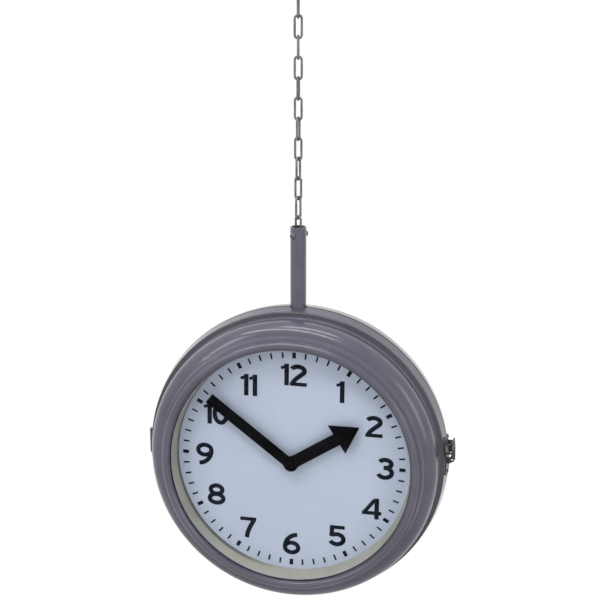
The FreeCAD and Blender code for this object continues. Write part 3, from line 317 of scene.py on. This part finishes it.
def finish(name, colour, second, rough=(0.35, 0.5), metallic=0.0, mottle=12.0, spread=0.2,
           skin=500.0, stretch=(1, 1, 1), bump=0.05, dust=0.0, coat=0.0, specular=0.5,
           lines=()):
    """A painted or metal material; each of its lines is given as SEAM_LINE is below."""
    material, tree, shader = new_material(name)
    shader.inputs["Metallic"].default_value = metallic
    shader.inputs["Specular IOR Level"].default_value = specular
    shader.inputs["Coat Weight"].default_value = coat
    shader.inputs["Coat Roughness"].default_value = COAT_ROUGHNESS
    place = tree.nodes.new("ShaderNodeTexCoord").outputs["Object"]
    colours = add_node(tree, "ShaderNodeGroup", node_tree=MOTTLE)
    colours.inputs["First Color"].default_value = (*colour, 1)
    colours.inputs["Second Color"].default_value = (*second, 1)
    colours.inputs["Scale"].default_value = mottle
    colours.inputs["Spread"].default_value = spread
    relief = add_node(tree, "ShaderNodeGroup", node_tree=SKIN)
    relief.inputs["Scale"].default_value = skin
    relief.inputs["Stretch"].default_value = stretch
    settled = add_node(tree, "ShaderNodeGroup", node_tree=DUST)
    settled.inputs["Amount"].default_value = dust
    for group in (colours, relief, settled):
        join(tree, place, group.inputs["Vector"])
    dusty = add_node(tree, "ShaderNodeMix", data_type="RGBA")
    dusty.inputs[COLOUR_B].default_value = (*DUST_COLOUR, 1)
    join(tree, settled.outputs["Mask"], dusty.inputs["Factor"])
    join(tree, colours.outputs["Color"], dusty.inputs[COLOUR_A])
    painted = dusty.outputs[COLOUR_OUT]
    for depth, width, reach, one_side, darkness in lines:
        drawn = add_node(tree, "ShaderNodeGroup", node_tree=DEPTH_LINE)
        for socket_name, value in (("Depth", depth), ("Width", width), ("Reach", reach),
                                   ("One Side", one_side)):
            drawn.inputs[socket_name].default_value = value
        join(tree, place, drawn.inputs["Vector"])
        shade = add_node(tree, "ShaderNodeMath", operation="MULTIPLY")
        shade.inputs[1].default_value = darkness
        join(tree, drawn.outputs["Mask"], shade.inputs[0])
        darker = add_node(tree, "ShaderNodeMix", data_type="RGBA")
        darker.inputs[COLOUR_B].default_value = (*LINE_COLOUR, 1)
        join(tree, shade.outputs[0], darker.inputs["Factor"])
        join(tree, painted, darker.inputs[COLOUR_A])
        painted = darker.outputs[COLOUR_OUT]
    join(tree, painted, shader.inputs["Base Color"])
    gloss = add_node(tree, "ShaderNodeMapRange", To_Min=rough[0], To_Max=rough[1])
    join(tree, colours.outputs["Mask"], gloss.inputs["Value"])
    dull = add_node(tree, "ShaderNodeMath", operation="ADD", use_clamp=True)
    join(tree, gloss.outputs["Result"], dull.inputs[0])
    join(tree, settled.outputs["Mask"], dull.inputs[1])
    join(tree, dull.outputs[0], shader.inputs["Roughness"])
    raised = add_node(tree, "ShaderNodeBump")
    raised.inputs["Strength"].default_value = bump
    raised.inputs["Distance"].default_value = RELIEF_DEPTH
    join(tree, relief.outputs["Height"], raised.inputs["Height"])
    join(tree, raised.outputs["Normal"], shader.inputs["Normal"])
    return material


# %% [markdown]
# ## The clock's finishes
# The case and tube have a warm grey enamel with a violet cast and a satin gloss. The
# chain is dull zinc. The latch and hinge are darker than the case. The dial is a smooth
# pale enamel, and the wall round it is a cream that has greyed. The hands are black
# with hardly any gloss. Inside, there is black plastic, white nylon, brass and a cell.
# A shaded line is its depth, its half width, how far from the axis it reaches, whether it
# keeps to the left, and its darkness.

# %% Make the opaque finishes
BAND_REACH = 0.2075
EVERYWHERE = 1.0
ALL_ROUND, LEFT_ONLY = 0.0, 1.0
SEAM_LINE = (0.0, 0.0050, BAND_REACH, ALL_ROUND, 1.0)
# Painted shade: a dark band in the corner of the step, where shade falls.
STEP_PAINTED_SHADE = (0.0205, 0.0022, BAND_REACH, ALL_ROUND, 0.6)
# Painted shade: a dark band on the cream wall at its foot by the dial, kept to the left side,
# where the gap lies in shade.
WALL_FOOT_PAINTED_SHADE = (DIAL_FACE, 0.0085, EVERYWHERE, LEFT_ONLY, 0.75)
FINISHES = {
    "grey_paint": finish("Grey enamel", (0.142, 0.136, 0.192), (0.112, 0.107, 0.151),
                         rough=(0.17, 0.25), mottle=9.0, skin=650.0, bump=0.05, dust=0.04,
                         coat=0.5, specular=0.4, lines=(SEAM_LINE, STEP_PAINTED_SHADE)),
    "chain_steel": finish("Dull zinc", (0.23, 0.23, 0.235), (0.13, 0.13, 0.135),
                          rough=(0.38, 0.55), metallic=0.75, mottle=90.0, skin=900.0,
                          bump=0.15),
    "dial_white": finish("Dial enamel", (0.358, 0.402, 0.498), (0.345, 0.388, 0.483),
                         rough=(0.42, 0.5), mottle=5.0, skin=900.0, bump=0.02,
                         specular=0.3),
    "cream_paint": finish("Greyed cream", (0.275, 0.274, 0.235), (0.235, 0.235, 0.202),
                          rough=(0.4, 0.55), mottle=14.0, skin=500.0, bump=0.05, dust=0.1,
                          lines=(WALL_FOOT_PAINTED_SHADE,)),
    "black_paint": finish("Hand black", (0.003, 0.003, 0.004), (0.005, 0.005, 0.006),
                          rough=(0.5, 0.62), mottle=25.0, skin=800.0, bump=0.06,
                          dust=0.01, specular=0.0),
    "bare_steel": finish("Plain steel", (0.52, 0.52, 0.53), (0.38, 0.38, 0.39),
                         rough=(0.28, 0.42), metallic=1.0, mottle=40.0, skin=700.0,
                         stretch=(1, 0.06, 1), bump=0.1),
    "latch_steel": finish("Dark latch enamel", (0.040, 0.039, 0.050), (0.026, 0.026, 0.033),
                          rough=(0.3, 0.42), mottle=60.0, skin=700.0, bump=0.08, dust=0.05,
                          coat=0.2),
    "movement_plastic": finish("Black moulding", (0.022, 0.022, 0.024), (0.014, 0.014, 0.016),
                               rough=(0.45, 0.6), mottle=50.0, skin=1200.0, bump=0.2),
    "wheel_plastic": finish("White nylon", (0.72, 0.71, 0.66), (0.62, 0.61, 0.56),
                            rough=(0.35, 0.5), mottle=60.0, skin=600.0, bump=0.05),
    "brass_nut": finish("Turned brass", (0.66, 0.47, 0.20), (0.50, 0.34, 0.14),
                        rough=(0.2, 0.35), metallic=1.0, mottle=70.0, skin=900.0,
                        stretch=(1, 0.1, 1), bump=0.08),
    "cell_jacket": finish("Cell sleeve", (0.03, 0.11, 0.055), (0.024, 0.085, 0.045),
                          rough=(0.2, 0.3), mottle=40.0, skin=300.0, stretch=(0.05, 1, 1),
                          bump=0.03, coat=0.4),
}
print("finishes", len(FINISHES))

# %% [markdown]
# ## Glass
# A window pane is clear from straight in front and shines at a glancing angle. The
# Principled shader's transmission does both. Light from a lamp would be stopped by it,
# though, because this renderer sends no shadow rays through a refracting surface, and
# the dial would go dark. So shadow rays meet a transparent shader instead.


# %% Make the glass
GLASS_COLOUR = (0.985, 0.99, 0.99)
GLASS_BENDING = 1.05   # the index of refraction, kept low so that the dial shows clearly
HAZE_SCALE = 9.0
HAZE_ROUGHNESS = 0.02


def make_glass():
    material, tree, shader = new_material("Window glass")
    shader.inputs["Base Color"].default_value = (*GLASS_COLOUR, 1)
    shader.inputs["Transmission Weight"].default_value = 1.0
    shader.inputs["IOR"].default_value = GLASS_BENDING
    shader.inputs["Metallic"].default_value = 0.0
    place = tree.nodes.new("ShaderNodeTexCoord").outputs["Object"]
    haze = add_node(tree, "ShaderNodeGroup", node_tree=SKIN)
    haze.inputs["Scale"].default_value = HAZE_SCALE
    join(tree, place, haze.inputs["Vector"])
    film = add_node(tree, "ShaderNodeMapRange", To_Min=0.0, To_Max=HAZE_ROUGHNESS)
    join(tree, haze.outputs["Mask"], film.inputs["Value"])
    join(tree, film.outputs["Result"], shader.inputs["Roughness"])
    clear = tree.nodes.new("ShaderNodeBsdfTransparent")
    path = tree.nodes.new("ShaderNodeLightPath")
    mix = tree.nodes.new("ShaderNodeMixShader")
    join(tree, path.outputs["Is Shadow Ray"], mix.inputs[0])
    join(tree, shader.outputs[0], mix.inputs[1])
    join(tree, clear.outputs[0], mix.inputs[2])
    join(tree, mix.outputs[0], tree.nodes["Material Output"].inputs["Surface"])
    return material


FINISHES["clear_glass"] = make_glass()

# %% [markdown]
# ## Dress the CAD pieces
# The record says which slot each piece takes its finish from, so the materials are
# handed out by that list and no piece can be forgotten.

# %% Hand out the finishes
slot_of = {part["node"]: part["material_slot"] for part in frame["record"]["subparts"]}
for node_name, node in nodes.items():
    node.data.materials.clear()
    node.data.materials.append(FINISHES[slot_of[node_name]])
print("dressed", len(nodes), "pieces in", len(set(slot_of.values())), "finishes")

# %% [markdown]
# ## Minute marks with Geometry Nodes
# Sixty marks stand in a ring and every fifth one is thicker. A Mesh Circle gives sixty
# points; each gets a small block turned to point outwards. Two instancing steps share
# the points: one takes those whose index divides by five, and the other takes the rest.
# The ring's sizes are inputs of the tree, so one tree could print any dial.

# %% Sizes of the print, in metres
PRINT_TURN = math.radians(-0.8)
INK = 0.00008              # the thickness of the print
PRINT_LIFT = 0.6 * INK     # from the dial's face to the middle of the print
STROKE_STEP = 0.15 * INK   # each stroke of a numeral stands this much over the last
MINUTES = 60
HOUR_EVERY = 5
MARK_RADIUS = 0.1487
MARK_LENGTH = 0.0083
MARK_WIDTH = 0.0024
HOUR_MARK_WIDTH = 0.0050
NUMERAL_ACROSS = 0.1241    # half the width of the numerals' ring
NUMERAL_UP = 0.1219        # half its height
NUMERAL_TUCK = 0.0054      # how much nearer to the middle the side numerals come
NUMERAL_SHIFT = 0.0019     # how far the side numerals stand to the right
NUMERAL_DROP = 0.0005      # how far the whole ring sits low


# %% The tree of minute marks
def make_mark_tree():
    tree = bpy.data.node_groups.new("Minute marks", "GeometryNodeTree")
    sockets = {}
    for name, kind, value in (
            ("Count", "NodeSocketInt", MINUTES), ("Ring Radius", FLOAT, MARK_RADIUS),
            ("Length", FLOAT, MARK_LENGTH), ("Width", FLOAT, MARK_WIDTH),
            ("Hour Width", FLOAT, HOUR_MARK_WIDTH), ("Ink", FLOAT, INK)):
        socket = tree.interface.new_socket(name, in_out="INPUT", socket_type=kind)
        socket.default_value = value
        sockets[name] = socket.identifier
    material_socket = tree.interface.new_socket(
        "Material", in_out="INPUT", socket_type="NodeSocketMaterial")
    sockets["Material"] = material_socket.identifier
    tree.interface.new_socket("Geometry", in_out="OUTPUT", socket_type="NodeSocketGeometry")
    entry = tree.nodes.new("NodeGroupInput")
    out = tree.nodes.new("NodeGroupOutput")
    ring = tree.nodes.new("GeometryNodeMeshCircle")
    join(tree, entry.outputs["Count"], ring.inputs["Vertices"])
    join(tree, entry.outputs["Ring Radius"], ring.inputs["Radius"])
    place = tree.nodes.new("GeometryNodeInputPosition")
    outward = add_node(tree, "FunctionNodeAlignRotationToVector", axis="Y", pivot_axis="Z")
    join(tree, place.outputs[0], outward.inputs["Vector"])
    index = tree.nodes.new("GeometryNodeInputIndex")
    fifth = add_node(tree, "ShaderNodeMath", operation="MODULO")
    fifth.inputs[1].default_value = HOUR_EVERY
    is_minute = add_node(tree, "ShaderNodeMath", operation="GREATER_THAN")
    is_minute.inputs[1].default_value = 0.5
    is_hour = add_node(tree, "ShaderNodeMath", operation="SUBTRACT")
    is_hour.inputs[0].default_value = 1
    join(tree, index.outputs[0], fifth.inputs[0])
    join(tree, fifth.outputs[0], is_minute.inputs[0])
    join(tree, is_minute.outputs[0], is_hour.inputs[1])
    both = tree.nodes.new("GeometryNodeJoinGeometry")
    for width, chosen in (("Width", is_minute), ("Hour Width", is_hour)):
        size = tree.nodes.new("ShaderNodeCombineXYZ")
        join(tree, entry.outputs[width], size.inputs["X"])
        join(tree, entry.outputs["Length"], size.inputs["Y"])
        join(tree, entry.outputs["Ink"], size.inputs["Z"])
        block = tree.nodes.new("GeometryNodeMeshCube")
        join(tree, size.outputs[0], block.inputs["Size"])
        spread = tree.nodes.new("GeometryNodeInstanceOnPoints")
        join(tree, ring.outputs["Mesh"], spread.inputs["Points"])
        join(tree, block.outputs["Mesh"], spread.inputs["Instance"])
        join(tree, chosen.outputs[0], spread.inputs["Selection"])
        join(tree, outward.outputs[0], spread.inputs["Rotation"])
        join(tree, spread.outputs[0], both.inputs[0])
    real = tree.nodes.new("GeometryNodeRealizeInstances")
    dressed = tree.nodes.new("GeometryNodeSetMaterial")
    join(tree, both.outputs[0], real.inputs[0])
    join(tree, real.outputs[0], dressed.inputs["Geometry"])
    join(tree, entry.outputs["Material"], dressed.inputs["Material"])
    join(tree, dressed.outputs[0], out.inputs[0])
    return tree, sockets


MARK_TREE, MARK_SOCKETS = make_mark_tree()
print("tree", MARK_TREE.name, "inputs", list(MARK_SOCKETS))

# %% [markdown]
# ## From a flat drawing to a dial
# Marks and numerals are drawn flat, x to the reader's right and y up. One matrix stands
# the drawing up on the front dial, and half a turn about the upright axis carries it to
# the rear one. A turn, unlike a mirror, keeps the numbers readable and the faces outward.
# The print on this clock sits a little under one degree clockwise of upright.


# %% Place a flat drawing on a dial
def dial_matrix(side):
    turn = Matrix.Rotation(PRINT_TURN, 4, "Z")
    stand = Matrix.Rotation(math.radians(90), 4, "X")
    forward = Matrix.Translation((0, -DIAL_FACE - PRINT_LIFT, 0))
    half_turn = Matrix.Rotation(math.pi if side == "rear" else 0, 4, "Z")
    return Matrix.Translation(CASE_CENTRE) @ half_turn @ forward @ stand @ turn


def ride_on_side(piece, side):
    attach(piece, "front_case" if side == "front" else "clock_case")
    return piece


def bake_nodes(name, tree, sockets, values, matrix):
    """Run a geometry tree on an empty mesh and keep the result as a plain mesh."""
    carrier = new_object(name + "_carrier", bpy.data.meshes.new(name + "_carrier"))
    modifier = carrier.modifiers.new(name, "NODES")
    modifier.node_group = tree
    for socket_name, value in values.items():
        modifier[sockets[socket_name]] = value
    bpy.context.view_layer.update()
    evaluated = carrier.evaluated_get(bpy.context.evaluated_depsgraph_get())
    mesh = bpy.data.meshes.new_from_object(evaluated)
    mesh.transform(matrix)
    carrier.modifiers.clear()
    bpy.data.objects.remove(carrier)
    return new_object(name, mesh)


# %% Print the minute marks on both dials
INK_BLACK = finish("Printing ink", (0.005, 0.007, 0.012), (0.009, 0.011, 0.017),
                   rough=(0.45, 0.6), mottle=80.0, skin=900.0, bump=0.03, specular=0.05)
mark_values = {"Count": MINUTES, "Ring Radius": MARK_RADIUS, "Length": MARK_LENGTH,
               "Width": MARK_WIDTH, "Hour Width": HOUR_MARK_WIDTH, "Ink": INK,
               "Material": INK_BLACK}
for side in ("front", "rear"):
    marks = bake_nodes(side + "_minute_marks", MARK_TREE, MARK_SOCKETS, mark_values,
                       dial_matrix(side))
    ride_on_side(marks, side)
    print(marks.name, "faces", len(marks.data.polygons))

# %% [markdown]
# ## Numerals drawn with a broad pen
# The numerals are a bold plain letter with square ends. Upright and curved strokes have
# one width, and level strokes are a little thinner, which makes both look equally heavy.
# So each digit is a few centre lines, each with its pen, and the nine is the six turned
# upside down. A stroke is a thin closed slab, and strokes that cross differ in height.

# %% The digits' centre lines, in millimetres
BROAD = 6.2   # the pen of upright and curved strokes
FINE = 5.2    # the pen of level and slanting strokes
FLAG = 4.2    # the pen of the flag of the one
TALL = 30.3
TOP_BAR = TALL - FINE / 2
FOOT_BAR = FINE / 2
LETTER_GAP = 0.9
WIDE = {"0": 22.8, "1": 11.0, "2": 23.4, "3": 23.5, "4": 26.4, "5": 23.5, "6": 24.7,
        "7": 22.4, "8": 25.4, "9": 24.7}


def arc(centre_x, centre_y, radius_x, radius_y, start, end, steps=30):
    """Points of an elliptical arc; degrees count from the right, upwards."""
    points = []
    for step in range(steps + 1):
        angle = math.radians(start + (end - start) * step / steps)
        points.append((centre_x + radius_x * math.cos(angle),
                       centre_y + radius_y * math.sin(angle)))
    return points


SIX = [(BROAD, arc(12.35, 10.0, 9.25, 7.2, 0, 360)),
       (BROAD, arc(20.7, 10.5, 17.6, 18.8, 178, 92))]
DIGITS = {
    "0": [(BROAD, arc(11.4, TALL / 2, 8.3, 12.4, 0, 360, 44))],
    "1": [(BROAD, [(7.9, 0), (7.9, TALL)]), (FLAG, [(0, 24.1), (3.5, 25), (7, 27.5)])],
    "2": [(BROAD, arc(11.2, 21.3, 8.9, 5.9, 158, -24) + [(16.6, 16.6), (10.9, 11.9), (6.0, 7.2),
                                                          (4.0, 3.2)]),
          (FINE, [(0.2, FOOT_BAR), (23.4, FOOT_BAR)])],
    "3": [(BROAD, arc(11.3, 22.5, 8.2, 5.7, 155, -90) + [(9.1, 16.8)]),
          (BROAD, arc(11.0, 9.8, 9.4, 7.0, 90, -160))],
    "4": [(BROAD, [(19.9, 0), (19.9, TALL)]), (FINE, [(2.6, 8.8), (17.4, 28.4)]),
          (FINE, [(0, 8.8), (26.4, 8.8)])],
    "5": [(FINE, [(1.4, TOP_BAR), (21.9, TOP_BAR)]), (BROAD, [(4.5, TOP_BAR), (3.9, 13.9)]),
          (BROAD, arc(11.0, 10.2, 9.4, 7.4, 136, -156))],
    "6": SIX,
    "7": [(FINE, [(0, TOP_BAR), (22.4, TOP_BAR)]),
          (BROAD, [(19.6, 27.0), (18.4, 25.0), (15.4, 19.2), (12.6, 13.2), (10.5, 7.2),
                   (9.4, 0)])],
    "8": [(BROAD, arc(12.7, 22.0, 8.2, 6.0, 0, 360)), (BROAD, arc(12.7, 9.1, 9.6, 6.4, 0, 360))],
    "9": [(pen, [(WIDE["9"] - x, TALL - y) for x, y in line]) for pen, line in SIX],
}
print("digits", len(DIGITS), "strokes", sum(len(strokes) for strokes in DIGITS.values()))


# %% The pen: a centre line becomes a thin slab
SAME_POINT = 1e-6   # ends closer than this make the line a loop


def pen_slab(mesh, points, width, low, high):
    """Sweep a square-ended pen along a line of flat points, as one closed slab."""
    closed = (Vector(points[0]) - Vector(points[-1])).length < SAME_POINT
    if closed:
        points = points[:-1]
    count = len(points)
    rows = []
    for number in range(count):
        here = Vector(points[number])
        before = Vector(points[number - 1]) if closed or number else here
        after = Vector(points[(number + 1) % count]) if closed or number < count - 1 else here
        along = (after - before).normalized()
        side = Vector((-along.y, along.x)) * width / 2
        rows.append([mesh.verts.new((*place, height)) for place, height in
                     ((here + side, low), (here - side, low), (here - side, high),
                      (here + side, high))])
    pairs = list(zip(rows, rows[1:] + rows[:1])) if closed else list(zip(rows, rows[1:]))
    faces = []
    for first, second in pairs:
        for corner in range(4):
            following = (corner + 1) % 4
            faces.append(mesh.faces.new((first[corner], first[following],
                                         second[following], second[corner])))
    if not closed:
        faces.append(mesh.faces.new(rows[0]))
        faces.append(mesh.faces.new(list(reversed(rows[-1]))))
    bmesh.ops.recalc_face_normals(mesh, faces=faces)


# %% Write the twelve numerals on both dials
MM = 1000          # millimetres in a metre
HOUR_ANGLE = 30    # degrees


def numeral_strokes(text):
    """A numeral's strokes in metres, round its own middle; each is a pen and a line."""
    strokes = []
    start = 0.0
    for digit in text:
        for pen, line in DIGITS[digit]:
            strokes.append((pen, [(x + start, y) for x, y in line]))
        start += WIDE[digit] + LETTER_GAP
    middle = (start - LETTER_GAP) / 2
    return [(pen / MM, [((x - middle) / MM, (y - TALL / 2) / MM) for x, y in line])
            for pen, line in strokes]


def numeral_place(hour):
    """The middle of a numeral; the ring of numerals is a little flattened."""
    across = math.sin(math.radians(HOUR_ANGLE * hour))
    up = math.cos(math.radians(HOUR_ANGLE * hour))
    return (across * NUMERAL_ACROSS + abs(across) * NUMERAL_SHIFT,
            up * (NUMERAL_UP - abs(across) * NUMERAL_TUCK) - NUMERAL_DROP)


def write_numerals(side):
    mesh = bmesh.new()
    for hour in range(1, 13):
        across, up = numeral_place(hour)
        for layer, (pen, line) in enumerate(numeral_strokes(str(hour))):
            placed = [(x + across, y + up) for x, y in line]
            pen_slab(mesh, placed, pen, -INK / 2, INK / 2 + layer * STROKE_STEP)
    data = bpy.data.meshes.new(side + "_numerals")
    mesh.to_mesh(data)
    mesh.free()
    data.transform(dial_matrix(side))
    data.materials.append(INK_BLACK)
    piece = new_object(side + "_numerals", data)
    return ride_on_side(piece, side)


for side in ("front", "rear"):
    numerals = write_numerals(side)
    print(numerals.name, "faces", len(numerals.data.polygons))

# %% [markdown]
# ## Floor and white room
# The clock hangs in a white studio. The floor lies well below it, keeps a soft shadow
# straight under the clock, and fades to plain white further out for the camera and for
# reflections. The world does the same, while it lights the clock at a gentler level.


# %% The floor
FLOOR_HEIGHT = -1.45
FLOOR_RADIUS = 40.0
FLOOR_CORNERS = 96
FLOOR_COLOUR = (0.86, 0.86, 0.86)
FADE_STARTS, FADE_ENDS = 0.55, 1.15   # the distance from the middle, in metres
FADE_LEAST = 0.5                      # how white the floor already is in the middle


def make_floor():
    mesh = bmesh.new()
    bmesh.ops.create_circle(mesh, cap_ends=True, segments=FLOOR_CORNERS,
                              radius=FLOOR_RADIUS)
    data = bpy.data.meshes.new("floor")
    mesh.to_mesh(data)
    mesh.free()
    data.transform(Matrix.Translation((0, 0, FLOOR_HEIGHT)))
    return new_object("floor", data)


def seen_directly(tree):
    """One for camera, glossy and transmission rays, and zero for the light itself."""
    path = tree.nodes.new("ShaderNodeLightPath")
    first = add_node(tree, "ShaderNodeMath", operation="MAXIMUM")
    second = add_node(tree, "ShaderNodeMath", operation="MAXIMUM")
    join(tree, path.outputs["Is Camera Ray"], first.inputs[0])
    join(tree, path.outputs["Is Glossy Ray"], first.inputs[1])
    join(tree, first.outputs[0], second.inputs[0])
    join(tree, path.outputs["Is Transmission Ray"], second.inputs[1])
    return second.outputs[0]


def make_floor_material():
    material, tree, shader = new_material("Studio floor")
    shader.inputs["Base Color"].default_value = (*FLOOR_COLOUR, 1)
    shader.inputs["Roughness"].default_value = 0.8
    white = tree.nodes.new("ShaderNodeEmission")
    place = tree.nodes.new("ShaderNodeTexCoord").outputs["Object"]
    flat = add_node(tree, "ShaderNodeVectorMath", operation="MULTIPLY")
    flat.inputs[1].default_value = (1, 1, 0)
    distance = add_node(tree, "ShaderNodeVectorMath", operation="LENGTH")
    fade = add_node(tree, "ShaderNodeMapRange", interpolation_type="SMOOTHSTEP",
                    From_Min=FADE_STARTS, From_Max=FADE_ENDS, To_Min=FADE_LEAST)
    both = add_node(tree, "ShaderNodeMath", operation="MULTIPLY")
    mix = tree.nodes.new("ShaderNodeMixShader")
    join(tree, place, flat.inputs[0])
    join(tree, flat.outputs[0], distance.inputs[0])
    join(tree, distance.outputs["Value"], fade.inputs["Value"])
    join(tree, fade.outputs["Result"], both.inputs[0])
    join(tree, seen_directly(tree), both.inputs[1])
    join(tree, both.outputs[0], mix.inputs[0])
    join(tree, shader.outputs[0], mix.inputs[1])
    join(tree, white.outputs[0], mix.inputs[2])
    join(tree, mix.outputs[0], tree.nodes["Material Output"].inputs["Surface"])
    return material


floor = make_floor()
floor.data.materials.append(make_floor_material())
print("floor at", FLOOR_HEIGHT)

# %% The white world
WORLD_LIGHT = 0.27
world = bpy.data.worlds.new("White studio")
bpy.context.scene.world = world
world.use_nodes = True
background = world.node_tree.nodes["Background"]
strength = add_node(world.node_tree, "ShaderNodeMapRange", To_Min=WORLD_LIGHT, To_Max=1.0)
join(world.node_tree, seen_directly(world.node_tree), strength.inputs["Value"])
join(world.node_tree, strength.outputs["Result"], background.inputs["Strength"])
background.inputs["Color"].default_value = (1, 1, 1, 1)

# %% [markdown]
# ## Lamps
# The picture has soft light from above and to the left. A large lamp overhead lays the
# bright arc along the crest, and a small one above it the soft patch that the tube's
# reflection breaks. One from the front left lights the dial, and a weak one from the
# right keeps that side from going flat.


# %% Hang the lamps
LAMPS = {   # place, width, height and power
    "overhead lamp": ((-0.5, -1.25, 1.35), 2.2, 0.3, 17.0),
    "top lamp": ((0.0, -0.3, 1.1), 1.0, 0.35, 6.0),
    "front lamp": ((-1.6, -2.0, 0.4), 0.5, 1.2, 7.0),
    "right lamp": ((1.8, -1.2, -0.2), 0.8, 1.2, 6.0),
}


def soft_lamp(name, place, width, height, power):
    lamp = bpy.data.lights.new(name, "AREA")
    lamp.shape = "RECTANGLE"
    lamp.size = width
    lamp.size_y = height
    lamp.energy = power
    aim = CASE_CENTRE - Vector(place)
    new_object(name, lamp).matrix_world = (Matrix.Translation(place)
                                           @ aim.to_track_quat("-Z", "Y").to_matrix().to_4x4())


for lamp_name, settings in LAMPS.items():
    soft_lamp(lamp_name, *settings)
print("lamps", len(bpy.data.lights))

# %% [markdown]
# ## The camera
# The picture was taken from in front, a little to the right and above the dial, with
# a long lens. The camera's place was worked out from the ovals that the dial's rings
# make in the picture. Its own axes follow from the two angles of its line of sight.
# OFFSET is the way from the camera to the dial along those axes. Its unit is close to the
# radius at which the minute marks begin.

# %% Set up the camera
AZIMUTH = math.radians(11.335)
TILT = math.radians(15.57)
UNIT = 0.1444
OFFSET = Vector((-0.0675972512, -1.49752664, -13.7586202)) * UNIT
back = Vector((math.sin(AZIMUTH) * math.cos(TILT), -math.cos(AZIMUTH) * math.cos(TILT),
               math.sin(TILT)))
right = Vector((math.cos(AZIMUTH), math.sin(AZIMUTH), 0))
up = back.cross(right)
FOCAL_LENGTH = 88.5    # millimetres
SENSOR_WIDTH = 36.0    # millimetres
SIGHT_LIMIT = 200.0    # metres
dial_centre = CASE_CENTRE - Vector((0, DIAL_FACE, 0))
eye = dial_centre - (OFFSET.x * right + OFFSET.y * up + OFFSET.z * back)
lens = bpy.data.cameras.new("camera")
lens.lens = FOCAL_LENGTH
lens.sensor_width = SENSOR_WIDTH
lens.clip_end = SIGHT_LIMIT
camera = new_object("camera", lens)
axes = Matrix((right, up, back)).transposed().to_4x4()
camera.matrix_world = Matrix.Translation(eye) @ axes
bpy.context.scene.camera = camera
bpy.context.scene.view_settings.view_transform = "Standard"
print("camera at", tuple(round(value, 3) for value in eye))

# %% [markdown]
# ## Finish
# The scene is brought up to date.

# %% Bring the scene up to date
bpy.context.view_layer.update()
